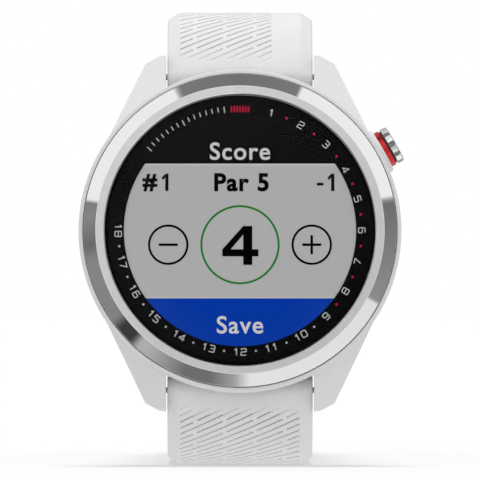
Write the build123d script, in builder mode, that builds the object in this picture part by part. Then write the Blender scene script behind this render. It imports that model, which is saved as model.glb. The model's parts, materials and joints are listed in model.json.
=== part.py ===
from build123d import *
import os
from math import cos, degrees, radians, sin

# A golf GPS watch standing on its strap. Millimetres; the dial faces -Y, 12 o'clock is +Z, 3 o'clock is +X.
# The origin is the centre of the case back's outer face, so every depth in the case is a negative Y.

# ---- driving dimensions ----
FRONT_Y = -11.5          # face of the bezel, so the case is 11.5 thick
CASE_R = 21.95           # outside of the round case
CASE_BACK_R = 20.6       # the case narrows to this at the back
CASE_BACK_Y = -1.0
CASE_RIM_Y = -9.7
SEAT_Y = -8.6            # where the bezel stands in the case
FLOOR_Y = -3.0           # inside floor of the case, round the opening for the back cover
CAVITY_R = 18.2
OPENING_R = 16.5
BEZEL_R = 21.3
BEZEL_FLAT_R = 19.6      # the brushed ring ends and the polished slope begins
SLOPE_END_Y = -10.2
LENS_SEAT_R = 18.5
LENS_R = 18.4
LENS_FRONT_Y = -11.35
LENS_BACK_Y = -9.9
GASKET_T = 0.2
LEDGE_R = 17.0           # inner edge of the bezel's ledge under the glass
DISPLAY_R = 16.8
SCREEN_R = 15.8          # the lit part of the display

BAR_Y = -3.2             # spring bars: the strap hinges
BAR_Z = 21.4
LUG_GAP = 20.2
LUG_TIP_Z = 24.2
LUG_HOLE_R = 0.45
LUG_HOLE_DEPTH = 1.0
TIP_R = 0.40
TIP_REACH = 0.85         # how far a bar tip goes into its lug
TUBE_R = 0.9
TUBE_BORE_R = 0.6
TUBE_HALF = 9.6

STRAP_W = 19.8
BEVEL_W = 1.7            # sloped edges along the strap's outer face
BEVEL_T = 1.05
STRAP_HALF_T = 1.5       # half the strap's thickness after the bend
STRAP_THIN_HALF_T = 1.2
BARREL_R = 1.9           # strap end round the spring bar
LEAVING_LEAN = 15.0      # the strap leaves the lugs leaning back by this many degrees
BEND_START = 0.5         # straight stretch before the bend
BEND_R = 10.3            # middle line of the bend behind the lugs
BEND_A = 25.0            # first part of the bend, in degrees
BEND_HALF_T = 1.7        # half the thickness where the bend's two parts meet
STAND_LEAN = 3.7         # the standing watch leans back by this many degrees
FOOT_RUN = 24.0          # flat stretch that the watch stands on
UPPER_ARC_R = 100.0
UPPER_ARC = 21.8
UPPER_END_RUN = 25.0
LOWER_ARC_R = 90.0
TAIL_LEAN = 132.65       # the tail's direction, in degrees from upright
TAIL_RUN = 14.0
TIP_ROUND = 8.0          # length of the tail's rounded tip

BUTTON_CLOCK = 60.0      # degrees clockwise from 12 o'clock
BUTTON_Y = -5.4
BOSS_FACE = 22.45        # distances from the watch's middle, along the button's axis
BOSS_R = 3.15
WELL_R = 2.72
WELL_FLOOR = 20.0
STEM_R = 0.9
STEM_BORE_R = 0.95
STEM_IN = 17.6
STEM_OUT = 22.9
COLLAR_R = 2.6
COLLAR_IN = 21.0
COLLAR_OUT = 23.15
CAP_R = 2.65
CAP_IN = 23.4
CAP_OUT = 24.4
SPIGOT_R = 1.5

SCREW_CIRCLE_R = 17.75
COVER_R = 19.1
COVER_SPIGOT_R = 16.4
COVER_SPIGOT_Y = -2.2

PIN_R = 0.8              # buckle bar
PIN_BORE_R = 0.85
BUCKLE_BARREL_R = 1.7
BUCKLE_INNER = 20.4
BUCKLE_OUTER = 24.0
WINDOW = 6.8             # from the buckle bar to the crossbar
CROSSBAR = 1.8
TONGUE_W = 1.6
KEEPER_BACK = 9.0        # middle of the keeper, before the buckle bar
KEEPER_W = 6.0
KEEPER_WALL = 1.4
TAIL_T = 2.4

HOLE_R = 1.25
HOLE_PITCH = 5.0
HOLE_COUNT = 14
FIRST_HOLE = 12.0        # from the tail's tip

os.makedirs("parts", exist_ok=True)


def finish(builder, name):
    """Label a finished piece and write it."""
    builder.part.label = name
    export_step(builder.part, f"parts/{name}.step")


def dial_plane(y):
    """A plane across the watch at depth y; its normal faces the wearer's eye."""
    return Plane(origin=(0, y, 0), x_dir=(1, 0, 0), z_dir=(0, -1, 0))


def turned(profile):
    """A piece turned about the watch's axis from (radius, y) points."""
    with BuildPart() as piece:
        with BuildSketch(Plane.XY):
            with BuildLine():
                Polyline(*profile, close=True)
            make_face()
        revolve(axis=Axis.Y)
    return piece


def disc(radius, front, back, hole=0.0):
    """A flat disc or ring between two depths."""
    with BuildPart() as piece:
        with BuildSketch(dial_plane(back)):
            Circle(radius)
            if hole:
                Circle(hole, mode=Mode.SUBTRACT)
        extrude(amount=back - front)
    return piece


def block(x, y, z):
    """A box from its lowest and highest x, y and z."""
    with BuildPart() as piece:
        with Locations(((x[0] + x[1]) / 2, (y[0] + y[1]) / 2, (z[0] + z[1]) / 2)):
            Box(x[1] - x[0], y[1] - y[0], z[1] - z[0])
    return piece


# ---- button axis ----
button_dir = Vector(sin(radians(BUTTON_CLOCK)), 0, cos(radians(BUTTON_CLOCK)))
button_axis = Plane(origin=(0, BUTTON_Y, 0), x_dir=(0, -1, 0), z_dir=button_dir)


def along_button(radius, start, end, hole=0.0):
    """A round piece on the button's axis, between two distances from the watch's middle."""
    with BuildPart() as piece:
        with BuildSketch(button_axis.offset(start)):
            Circle(radius)
            if hole:
                Circle(hole, mode=Mode.SUBTRACT)
        extrude(amount=end - start)
    return piece


# ---- case ----
case_profile = [
    (CAVITY_R, SEAT_Y), (BEZEL_R + 0.1, SEAT_Y), (BEZEL_R + 0.1, CASE_RIM_Y), (CASE_R - 0.2, CASE_RIM_Y),
    (CASE_R, CASE_RIM_Y + 0.2), (CASE_R, -6.5), (CASE_BACK_R + 0.3, CASE_BACK_Y - 0.5),
    (CASE_BACK_R - 0.1, CASE_BACK_Y), (OPENING_R, CASE_BACK_Y), (OPENING_R, FLOOR_Y), (CAVITY_R, FLOOR_Y),
]
case_ring = turned(case_profile)

LUG_ROOT_Y = -8.9
lug_outline = [
    (LUG_GAP / 2, 15.9), (LUG_GAP / 2, LUG_TIP_Z), (11.0, LUG_TIP_Z - 0.1), (12.9, LUG_TIP_Z - 1.1),
    (18.6, 11.2), (15.4, 10.8),
]
lug_root_a = Vector(LUG_GAP / 2, LUG_ROOT_Y, 19.4)
lug_root_b = Vector(18.4, LUG_ROOT_Y, 11.9)
lug_tip = Vector(11.5, -4.9, LUG_TIP_Z - 0.2)
slope_edge = lug_root_b - lug_root_a
lug_slope = Plane(origin=lug_root_a, x_dir=slope_edge, z_dir=slope_edge.cross(lug_tip - lug_root_a))
if lug_slope.z_dir.Y > 0:
    lug_slope = -lug_slope


def on_slope(x, z):
    """The point of the lug's front slope above (x, z)."""
    n = lug_slope.z_dir
    o = lug_slope.origin
    return Vector(x, o.Y - (n.X * (x - o.X) + n.Z * (z - o.Z)) / n.Y, z)


crease_top = on_slope(10.5, 23.4)
crease_root = on_slope(13.6, 17.0)
inner_root = on_slope(LUG_GAP / 2, 17.4) + Vector(0, 0.75, 0)
crease = crease_root - crease_top
lug_facet = Plane(origin=crease_top, x_dir=crease, z_dir=crease.cross(inner_root - crease_top))
if lug_facet.z_dir.Y > 0:
    lug_facet = -lug_facet

with BuildPart() as lug:
    with BuildSketch(dial_plane(CASE_BACK_Y)):
        with BuildLine():
            Polyline(*lug_outline, close=True)
        make_face()
    extrude(amount=8.1)
    for cut in (lug_slope, lug_facet):
        with BuildSketch(cut):
            Rectangle(80, 80)
        extrude(amount=20, mode=Mode.SUBTRACT)
    with BuildSketch(Plane.YZ.offset(LUG_GAP / 2)):
        with Locations((BAR_Y, BAR_Z)):
            Circle(LUG_HOLE_R)
    extrude(amount=LUG_HOLE_DEPTH, mode=Mode.SUBTRACT)

with BuildPart() as lugs:
    add(lug.part)
    mirror(about=Plane.YZ)
    mirror(about=Plane.XY)

STRAP_WELL_Z = 19.4
STRAP_WELL_Y = -6.2
with BuildPart() as strap_well:
    with BuildSketch(dial_plane(0)):
        with Locations((0, STRAP_WELL_Z + 5), (0, -STRAP_WELL_Z - 5)):
            Rectangle(LUG_GAP, 10)
    extrude(amount=-STRAP_WELL_Y)

with BuildPart() as screw_holes:
    with BuildSketch(dial_plane(CASE_BACK_Y)):
        with PolarLocations(SCREW_CIRCLE_R, 4, start_angle=45):
            Circle(0.52)
    extrude(amount=1.8)

with BuildPart() as upper_case:
    add(case_ring.part)
    add(strap_well.part, mode=Mode.SUBTRACT)
    add(lugs.part)
    add(disc(BEZEL_R + 0.1, FRONT_Y, SEAT_Y).part, mode=Mode.SUBTRACT)
    add(along_button(BOSS_R, CAVITY_R + 0.3, BOSS_FACE).part)
    add(along_button(WELL_R, WELL_FLOOR, BOSS_FACE + 1).part, mode=Mode.SUBTRACT)
    add(along_button(STEM_BORE_R, CAVITY_R - 1, WELL_FLOOR).part, mode=Mode.SUBTRACT)
    add(screw_holes.part, mode=Mode.SUBTRACT)
    add(disc(17.25, CASE_BACK_Y - 0.55, CASE_BACK_Y, hole=OPENING_R).part, mode=Mode.SUBTRACT)
finish(upper_case, "upper_case")

# ---- front ----
bezel = turned([
    (LEDGE_R, SEAT_Y), (BEZEL_R, SEAT_Y), (BEZEL_R, SLOPE_END_Y), (BEZEL_FLAT_R, FRONT_Y),
    (LENS_SEAT_R, FRONT_Y), (LENS_SEAT_R, LENS_BACK_Y + GASKET_T), (LEDGE_R, LENS_BACK_Y + GASKET_T),
])
finish(bezel, "bezel")

lens = turned([
    (0, LENS_BACK_Y), (LENS_R, LENS_BACK_Y), (LENS_R, LENS_FRONT_Y + 0.35), (LENS_R - 0.4, LENS_FRONT_Y),
    (0, LENS_FRONT_Y),
])
finish(lens, "lens")

lens_gasket = disc(LENS_R, LENS_BACK_Y, LENS_BACK_Y + GASKET_T, hole=LEDGE_R + 0.2)
finish(lens_gasket, "lens_gasket")

PANEL_FRONT_Y = -9.7
PANEL_BACK_Y = -8.7
dial_mask = disc(LEDGE_R - 0.1, LENS_BACK_Y, PANEL_FRONT_Y, hole=SCREEN_R)
finish(dial_mask, "dial_mask")

display_panel = disc(DISPLAY_R, PANEL_FRONT_Y, PANEL_BACK_Y)
finish(display_panel, "display_panel")

BACKLIGHT_BACK_Y = -8.1
backlight = disc(DISPLAY_R, PANEL_BACK_Y, BACKLIGHT_BACK_Y)
finish(backlight, "backlight")

gps_antenna = disc(18.0, SEAT_Y + 0.05, BACKLIGHT_BACK_Y, hole=17.1)
finish(gps_antenna, "gps_antenna")

# ---- inner frame, board and power ----
PLATE_BACK_Y = -7.3
BOARD_FRONT_Y = -7.1
BOARD_BACK_Y = -6.3
FLEX_Z = 13.9
with BuildPart() as chassis:
    add(turned([
        (0, BACKLIGHT_BACK_Y), (17.9, BACKLIGHT_BACK_Y), (17.9, FLOOR_Y - 0.05), (17.0, FLOOR_Y - 0.05),
        (17.0, BOARD_FRONT_Y), (15.8, BOARD_FRONT_Y), (15.8, PLATE_BACK_Y), (0, PLATE_BACK_Y),
    ]).part)
    with BuildSketch(dial_plane(PLATE_BACK_Y)):
        with Locations((0, FLEX_Z)):
            Rectangle(8.0, 0.8)
    extrude(amount=PLATE_BACK_Y - BACKLIGHT_BACK_Y, mode=Mode.SUBTRACT)
    with BuildSketch(button_axis.offset(16.4)):
        Rectangle(3.4, 3.6)
    extrude(amount=2.0, mode=Mode.SUBTRACT)
finish(chassis, "chassis")

main_board = disc(16.6, BOARD_FRONT_Y, BOARD_BACK_Y)
finish(main_board, "main_board")

chips = [
    ((9.5, 12.5), (-2.0, 2.0), 1.0),
    ((9.5, 11.7), (-5.6, -3.4), 0.8),
    ((4.2, 8.2), (-11.3, -7.3), 0.8),
    ((-1.5, 1.5), (-15.0, -13.0), 0.9),
    ((-7.5, -5.0), (-14.5, -12.5), 0.7),
    ((-14.5, -12.0), (-3.0, 1.0), 0.9),
    ((2.0, 5.5), (13.2, 15.0), 0.9),
]
with BuildPart() as board_components:
    for x, z, height in chips:
        add(block(x, (BOARD_BACK_Y, BOARD_BACK_Y + height), z).part)
finish(board_components, "board_components")

with BuildPart() as rf_shield:
    add(block((1.6, 10.8), (BOARD_BACK_Y, -4.9), (-12.4, -6.2)).part)
    add(block((1.8, 10.6), (BOARD_BACK_Y, -5.1), (-12.2, -6.4)).part, mode=Mode.SUBTRACT)
finish(rf_shield, "rf_shield")

display_flex = block((-3.5, 3.5), (BACKLIGHT_BACK_Y, BOARD_FRONT_Y), (FLEX_Z - 0.1, FLEX_Z + 0.1))
finish(display_flex, "display_flex")

BATTERY_X = (-10.0, 8.0)
BATTERY_Z = (-4.0, 12.0)
battery_pad = block((-9.0, 7.0), (BOARD_BACK_Y, -6.0), (-3.0, 11.0))
finish(battery_pad, "battery_pad")

with BuildPart() as battery:
    add(block(BATTERY_X, (-6.0, -2.55), BATTERY_Z).part)
    fillet(battery.edges().filter_by(Axis.Y), radius=1.2)
finish(battery, "battery")

with BuildPart() as battery_flex:
    add(block((-5.0, -2.0), (-4.4, -4.2), (12.0, 13.2)).part)
    add(block((-5.0, -2.0), (BOARD_BACK_Y, -4.2), (13.0, 13.2)).part)
finish(battery_flex, "battery_flex")

# ---- vibration motor, lying along X ----
MOTOR_Y = -4.3
MOTOR_Z = -9.5
MOTOR_R = 1.75
SHAFT_R = 0.35


def along_x(radius, start, end, hole=0.0, at=(MOTOR_Y, MOTOR_Z)):
    """A round piece lying along X between two x values."""
    with BuildPart() as piece:
        with BuildSketch(Plane.YZ.offset(start)):
            with Locations(at):
                Circle(radius)
                if hole:
                    Circle(hole, mode=Mode.SUBTRACT)
        extrude(amount=end - start)
    return piece


with BuildPart() as motor_can:
    add(along_x(MOTOR_R, -11.0, -5.0).part)
    add(along_x(SHAFT_R + 0.04, -10.6, -5.0).part, mode=Mode.SUBTRACT)
finish(motor_can, "motor_can")

motor_shaft = along_x(SHAFT_R, -10.4, -2.2)
finish(motor_shaft, "motor_shaft")

with BuildPart() as motor_weight:
    add(along_x(1.5, -4.6, -2.4, hole=SHAFT_R).part)
    add(block((-5, -2), (MOTOR_Y - 2, MOTOR_Y + 2), (MOTOR_Z + 0.5, MOTOR_Z + 2)).part, mode=Mode.SUBTRACT)
finish(motor_weight, "motor_weight")

# ---- back cover ----
PORT_Z = -13.2
with BuildPart() as back_cover:
    with BuildSketch(Plane.XY):
        with BuildLine():
            Polyline(
                (0, COVER_SPIGOT_Y), (COVER_SPIGOT_R, COVER_SPIGOT_Y), (COVER_SPIGOT_R, CASE_BACK_Y),
                (COVER_R, CASE_BACK_Y), (COVER_R, -0.45), (COVER_R - 0.45, 0), (0, 0), close=True,
            )
        make_face()
    revolve(axis=Axis.Y)
    with BuildSketch(dial_plane(0)):
        with PolarLocations(SCREW_CIRCLE_R, 4, start_angle=45):
            Circle(1.15)
    extrude(amount=0.6, mode=Mode.SUBTRACT)
    with BuildSketch(dial_plane(0)):
        with PolarLocations(SCREW_CIRCLE_R, 4, start_angle=45):
            Circle(0.6)
    extrude(amount=1.2, mode=Mode.SUBTRACT)
    with BuildSketch(dial_plane(0)):
        with Locations((0, PORT_Z)):
            RectangleRounded(9.0, 3.2, 0.8)
    extrude(amount=3, mode=Mode.SUBTRACT)
finish(back_cover, "back_cover")

back_gasket = disc(17.2, CASE_BACK_Y - 0.5, CASE_BACK_Y, hole=OPENING_R + 0.05)
finish(back_gasket, "back_gasket")

with BuildPart() as back_screws:
    with BuildSketch(dial_plane(-0.6)):
        with PolarLocations(SCREW_CIRCLE_R, 4, start_angle=45):
            Circle(0.5)
    extrude(amount=2.0)
    with BuildSketch(dial_plane(-0.1)):
        with PolarLocations(SCREW_CIRCLE_R, 4, start_angle=45):
            Circle(1.05)
    extrude(amount=0.5)
    with BuildSketch(dial_plane(-0.1)):
        with PolarLocations(SCREW_CIRCLE_R, 4, start_angle=45):
            Rectangle(1.2, 0.3)
            Rectangle(0.3, 1.2)
    extrude(amount=0.3, mode=Mode.SUBTRACT)
finish(back_screws, "back_screws")

CONTACT_PITCH = 1.8
with BuildPart() as contact_block:
    with BuildSketch(dial_plane(-0.7)):
        with Locations((0, PORT_Z)):
            RectangleRounded(9.0, 3.2, 0.8)
            with GridLocations(CONTACT_PITCH, 1, 4, 1):
                Circle(0.46, mode=Mode.SUBTRACT)
    extrude(amount=1.7)
finish(contact_block, "contact_block")

with BuildPart() as charging_contacts:
    with BuildSketch(dial_plane(-0.5)):
        with Locations((0, PORT_Z)):
            with GridLocations(CONTACT_PITCH, 1, 4, 1):
                Circle(0.45)
    extrude(amount=2.2)
finish(charging_contacts, "charging_contacts")

# ---- button ----
with BuildPart() as button_cap:
    add(along_button(CAP_R, CAP_IN, CAP_OUT).part)
    chamfer(button_cap.edges().group_by(SortBy.LENGTH)[-1], length=0.2)
    add(along_button(SPIGOT_R, COLLAR_IN + 0.4, CAP_IN).part)
    add(along_button(STEM_R, COLLAR_IN, STEM_OUT).part, mode=Mode.SUBTRACT)
finish(button_cap, "button_cap")

button_collar = along_button(COLLAR_R, COLLAR_IN, COLLAR_OUT, hole=SPIGOT_R)
finish(button_collar, "button_collar")

SEAL_R = 0.94
SEAL_GROOVE_R = 0.6
SEAL_W = 0.4
CLIP_IN = 17.8
CLIP_T = 0.3
seal_starts = (18.95, 19.5)
with BuildPart() as button_stem:
    add(along_button(STEM_R, STEM_IN, STEM_OUT).part)
    for start in seal_starts:
        add(along_button(STEM_R + 1, start, start + SEAL_W, hole=SEAL_GROOVE_R).part, mode=Mode.SUBTRACT)
    add(along_button(STEM_R + 1, CLIP_IN, CLIP_IN + CLIP_T, hole=SEAL_GROOVE_R).part, mode=Mode.SUBTRACT)
finish(button_stem, "button_stem")

with BuildPart() as button_seals:
    for start in seal_starts:
        add(along_button(SEAL_R, start, start + SEAL_W, hole=SEAL_GROOVE_R).part)
finish(button_seals, "button_seals")

with BuildPart() as button_clip:
    with BuildSketch(button_axis.offset(CLIP_IN)):
        Circle(1.5)
        Circle(SEAL_GROOVE_R, mode=Mode.SUBTRACT)
        with Locations((0, -1.5)):
            Rectangle(1.1, 3, mode=Mode.SUBTRACT)
    extrude(amount=CLIP_T)
finish(button_clip, "button_clip")

with BuildPart() as tact_switch:
    with BuildSketch(button_axis.offset(14.8)):
        Rectangle(1.8, 3.2)
    extrude(amount=1.6)
    with BuildSketch(button_axis.offset(16.4)):
        Circle(0.5)
    extrude(amount=0.5)
finish(tact_switch, "tact_switch")


def coil(place, radius, wire, length, turns):
    """A coil spring standing on a plane."""
    helix = place.location * Helix(pitch=(length - wire) / turns, height=length - wire, radius=radius)
    start = Plane(origin=helix @ 0, z_dir=helix % 0)
    with BuildPart() as spring:
        with BuildSketch(start):
            Circle(wire / 2)
        sweep(path=helix, is_frenet=True)
    return spring


button_spring = coil(button_axis.offset(WELL_FLOOR + 0.15), 1.9, 0.2, 0.75, 2)
finish(button_spring, "button_spring")


# ---- strap ----
def walk(runs):
    """Start, middle and end of each run of a strap's middle line, as (y, height, lean from upright)."""
    y, height, lean = BAR_Y, BAR_Z, LEAVING_LEAN
    stations = []
    for length, turn, *_ in runs:
        trio = []
        for share in (0.0, 0.5, 1.0):
            trio.append(step(y, height, lean, length * share, turn * share))
        stations.append(trio)
        y, height, lean = trio[-1]
    return stations


def step(y, height, lean, length, turn):
    """Where a run of this length and turn (degrees) ends."""
    a = radians(lean)
    if turn == 0:
        return y + length * sin(a), height + length * cos(a), lean
    b = radians(lean + turn)
    radius = length / (b - a)
    return y + radius * (cos(a) - cos(b)), height + radius * (sin(b) - sin(a)), lean + turn


def beside(station, offset, side):
    """A point off the middle line; a positive offset is towards the strap's outer face."""
    y, height, lean = station
    a = radians(lean)
    return y - offset * cos(a), side * (height + offset * sin(a))


def strap_section(x, runs, side, bevelled):
    """The strap's side view at x, with the outer face lowered where its edge is bevelled."""
    outer = []
    inner = []
    for (start, middle, end), (_, turn, thick_0, thick_1, bevel_0, bevel_1) in zip(walk(runs), runs):
        high_0 = thick_0 - bevel_0 * bevelled
        high_1 = thick_1 - bevel_1 * bevelled
        outer.append((turn, (start, high_0), (middle, (high_0 + high_1) / 2), (end, high_1)))
        inner.append((turn, (start, -thick_0), (middle, -(thick_0 + thick_1) / 2), (end, -thick_1)))
    with BuildSketch(Plane.YZ.offset(x)) as section:
        with BuildLine():
            for turn, *spots in outer + inner:
                points = [beside(station, offset, side) for station, offset in spots]
                if turn:
                    ThreePointArc(*points)
                else:
                    Line(points[0], points[2])
            lean = radians(LEAVING_LEAN)
            nose = (BAR_Y - BARREL_R * sin(lean), side * (BAR_Z - BARREL_R * cos(lean)))
            ThreePointArc(beside(*outer[0][1], side), nose, beside(*inner[0][1], side))
            Line(beside(*outer[-1][3], side), beside(*inner[-1][3], side))
        make_face()
    return section.sketch


def strap_blank(runs, side):
    """A strap half with bevelled outer edges."""
    edge = STRAP_W / 2
    flat = edge - BEVEL_W
    with BuildPart() as blank:
        sections = [strap_section(x, runs, side, x in (-edge, edge)) for x in (-edge, -flat, flat, edge)]
        loft(sections, ruled=True)
    return blank


def strap_plane(station, side):
    """A plane on the strap's middle line: X across the strap, normal towards its outer face."""
    y, height, lean = station
    a = radians(lean)
    return Plane(origin=(0, y, side * height), x_dir=(1, 0, 0), z_dir=(0, -cos(a), side * sin(a)))


# runs: length, turn in degrees, half thickness at start and end, bevel depth at start and end
UPPER_BEND_B = 90.0 - LEAVING_LEAN - BEND_A
LOWER_BEND_B = UPPER_BEND_B + STAND_LEAN
LOWER_ARC = TAIL_LEAN - 90.0 - STAND_LEAN
lead_in = (BEND_START, 0, BARREL_R, BARREL_R, 0.3, 0.5)
bend_a = (BEND_R * radians(BEND_A), BEND_A, BARREL_R, BEND_HALF_T, 0.5, BEVEL_T)
upper_runs = [
    lead_in, bend_a,
    (BEND_R * radians(UPPER_BEND_B), UPPER_BEND_B, BEND_HALF_T, STRAP_HALF_T, BEVEL_T, BEVEL_T),
    (UPPER_ARC_R * radians(UPPER_ARC), UPPER_ARC, STRAP_HALF_T, STRAP_THIN_HALF_T, BEVEL_T, 0.7),
    (UPPER_END_RUN, 0, STRAP_THIN_HALF_T, STRAP_THIN_HALF_T, 0.7, 0.7),
]
lower_runs = [
    lead_in, bend_a,
    (BEND_R * radians(LOWER_BEND_B), LOWER_BEND_B, BEND_HALF_T, STRAP_HALF_T, BEVEL_T, BEVEL_T),
    (FOOT_RUN, 0, STRAP_HALF_T, STRAP_HALF_T, BEVEL_T, BEVEL_T),
    (LOWER_ARC_R * radians(LOWER_ARC), LOWER_ARC, STRAP_HALF_T, STRAP_THIN_HALF_T, BEVEL_T, 0.7),
    (TAIL_RUN, 0, STRAP_THIN_HALF_T, STRAP_THIN_HALF_T, 0.7, 0.7),
]
SLOT_START = 4.0         # opening for the quick-release lever, measured along the bar
SLOT_END = 7.4


def bar_cut(side):
    """The spring bar's hole and the lever's opening on the wrist side."""
    with BuildPart() as cut:
        add(along_x(TUBE_R + 0.02, -STRAP_W / 2 - 1, STRAP_W / 2 + 1, at=(BAR_Y, side * BAR_Z)).part)
        add(block((SLOT_START, SLOT_END), (BAR_Y, BAR_Y + 3), (side * BAR_Z - 1.1, side * BAR_Z + 1.1)).part)
    return cut


upper_end = walk(upper_runs)[-1][2]
buckle_plane = strap_plane(upper_end, 1)


def buckle_round(radius, half_width, hole=0.0):
    """A round piece on the buckle bar's axis, centred across the strap."""
    return along_x(radius, -half_width, half_width, hole=hole, at=(upper_end[0], upper_end[1]))


def buckle_block(x, along, up):
    """A box by its span across, along the strap past the buckle bar, and towards the outer face."""
    with BuildPart() as piece:
        with BuildSketch(buckle_plane.offset(up[0])):
            with Locations(((x[0] + x[1]) / 2, (along[0] + along[1]) / 2)):
                Rectangle(x[1] - x[0], along[1] - along[0])
        extrude(amount=up[1] - up[0])
    return piece


with BuildPart() as upper_strap:
    add(strap_blank(upper_runs, 1).part)
    add(bar_cut(1).part, mode=Mode.SUBTRACT)
    add(buckle_round(BUCKLE_BARREL_R, STRAP_W / 2).part)
    add(buckle_round(PIN_BORE_R, STRAP_W).part, mode=Mode.SUBTRACT)
    add(buckle_block((-1.2, 1.2), (-2.4, 3.0), (-3, 3)).part, mode=Mode.SUBTRACT)
finish(upper_strap, "upper_strap")

tail_end = walk(lower_runs)[-1][2]
tail_plane = strap_plane(tail_end, -1)
with BuildPart() as lower_strap:
    add(strap_blank(lower_runs, -1).part)
    add(bar_cut(-1).part, mode=Mode.SUBTRACT)
    with BuildSketch(tail_plane.offset(-4)):
        with Locations((0, (TIP_ROUND - 1) / 2)):
            Rectangle(STRAP_W + 2, TIP_ROUND + 1)
        with Locations((0, TIP_ROUND)):
            Ellipse(STRAP_W / 2, TIP_ROUND, mode=Mode.SUBTRACT)
    extrude(amount=8, mode=Mode.SUBTRACT)
    for hole in range(HOLE_COUNT):
        back = FIRST_HOLE + hole * HOLE_PITCH
        if back < TAIL_RUN:
            spot = step(*tail_end, -back, 0)
        else:
            spot = step(*walk(lower_runs)[-1][0], TAIL_RUN - back, degrees((TAIL_RUN - back) / LOWER_ARC_R))
        with BuildSketch(strap_plane(spot, -1).offset(-4)):
            Circle(HOLE_R)
        extrude(amount=8, mode=Mode.SUBTRACT)
finish(lower_strap, "lower_strap")

# ---- quick-release spring bars ----
LEVER_X = 6.3
for name, side in (("upper", 1), ("lower", -1)):
    at = (BAR_Y, side * BAR_Z)
    with BuildPart() as bar_tube:
        add(along_x(TUBE_R, -TUBE_HALF, TUBE_HALF, hole=TUBE_BORE_R, at=at).part)
        add(block((4.6, 7.0), (BAR_Y, BAR_Y + 2), (at[1] - 0.4, at[1] + 0.4)).part, mode=Mode.SUBTRACT)
    finish(bar_tube, f"{name}_bar_tube")

    with BuildPart() as fixed_tip:
        add(along_x(TUBE_BORE_R, -TUBE_HALF, -2.0, at=at).part)
        add(along_x(TIP_R, -LUG_GAP / 2 - TIP_REACH, -TUBE_HALF, at=at).part)
    finish(fixed_tip, f"{name}_bar_fixed_tip")

    with BuildPart() as release_pin:
        add(along_x(TUBE_BORE_R - 0.04, 3.2, TUBE_HALF - 0.1, at=at).part)
        add(along_x(TIP_R, TUBE_HALF - 0.1, LUG_GAP / 2 + TIP_REACH, at=at).part)
        add(block((LEVER_X - 0.5, LEVER_X + 0.5), (BAR_Y, BAR_Y + 2.2), (at[1] - 0.35, at[1] + 0.35)).part)
        lever_head = (BAR_Y + 1.95, BAR_Y + 2.35)
        add(block((LEVER_X - 1.1, LEVER_X + 0.9), lever_head, (at[1] - 0.8, at[1] + 0.8)).part)
    finish(release_pin, f"{name}_release_pin")

    spring_base = Plane(origin=(-1.9, *at), x_dir=(0, 1, 0), z_dir=(1, 0, 0))
    bar_spring = coil(spring_base, 0.42, 0.15, 3.95, 8)
    finish(bar_spring, f"{name}_bar_spring")

# ---- buckle ----
ARM_HALF_T = 1.1
ARM_END = -1.6
with BuildPart() as buckle_frame:
    bow = (-BUCKLE_OUTER / 2, BUCKLE_OUTER / 2)
    add(buckle_block(bow, (ARM_END, WINDOW + CROSSBAR), (-ARM_HALF_T, ARM_HALF_T)).part)
    add(buckle_block((-BUCKLE_INNER / 2, BUCKLE_INNER / 2), (-3.0, WINDOW), (-3, 3)).part, mode=Mode.SUBTRACT)
    fillet(buckle_frame.edges().filter_by(Axis.X).sort_by(Axis.Y)[-2:], radius=0.6)
    add(buckle_block((-1.4, 1.4), (WINDOW - 1, WINDOW + CROSSBAR + 1), (0.55, 3)).part, mode=Mode.SUBTRACT)
    add(buckle_round(PIN_R + 0.02, BUCKLE_OUTER / 2 - 0.6).part, mode=Mode.SUBTRACT)
finish(buckle_frame, "buckle_frame")

buckle_pin = buckle_round(PIN_R, BUCKLE_OUTER / 2 - 0.65)
finish(buckle_pin, "buckle_pin")

TONGUE_HUB_R = 1.45
with BuildPart() as buckle_tongue:
    add(buckle_block((-TONGUE_W / 2, TONGUE_W / 2), (0, WINDOW + CROSSBAR - 0.2), (0.65, TONGUE_HUB_R)).part)
    add(buckle_round(TONGUE_HUB_R, TONGUE_W / 2).part)
    add(buckle_round(PIN_BORE_R, TONGUE_W).part, mode=Mode.SUBTRACT)
finish(buckle_tongue, "buckle_tongue")

KEEPER_UNDER = STRAP_THIN_HALF_T + 0.25
KEEPER_OVER = STRAP_THIN_HALF_T + TAIL_T + 0.4
KEEPER_HALF = STRAP_W / 2 + 0.2
keeper_span = (-KEEPER_BACK - KEEPER_W / 2, -KEEPER_BACK + KEEPER_W / 2)
with BuildPart() as keeper_loop:
    add(buckle_block(
        (-KEEPER_HALF - KEEPER_WALL, KEEPER_HALF + KEEPER_WALL), keeper_span,
        (-KEEPER_UNDER - KEEPER_WALL, KEEPER_OVER + KEEPER_WALL),
    ).part)
    add(buckle_block(
        (-KEEPER_HALF, KEEPER_HALF), (keeper_span[0] - 1, keeper_span[1] + 1), (-KEEPER_UNDER, KEEPER_OVER)
    ).part, mode=Mode.SUBTRACT)
finish(keeper_loop, "keeper_loop")
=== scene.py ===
import json
from math import asin, ceil, cos, degrees, pi, radians, sin, sqrt

import bmesh
import bpy
from mathutils import Matrix, Vector


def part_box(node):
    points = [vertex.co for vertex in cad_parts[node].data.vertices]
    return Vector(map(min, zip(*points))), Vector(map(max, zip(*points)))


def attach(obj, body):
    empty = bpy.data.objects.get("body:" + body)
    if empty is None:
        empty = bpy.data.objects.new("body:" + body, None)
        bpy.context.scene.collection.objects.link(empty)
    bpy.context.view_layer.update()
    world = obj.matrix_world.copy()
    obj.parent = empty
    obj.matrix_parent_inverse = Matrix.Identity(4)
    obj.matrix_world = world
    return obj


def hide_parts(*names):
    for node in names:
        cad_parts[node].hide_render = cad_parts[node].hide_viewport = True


# The looks of a golf GPS watch that stands on its strap.
# Lengths are written in millimetres, and MM turns them into metres.
# The dial faces -Y, 12 o'clock is +Z and 3 o'clock is +X. A clock angle runs clockwise from 12.
MM = 0.001

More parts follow.
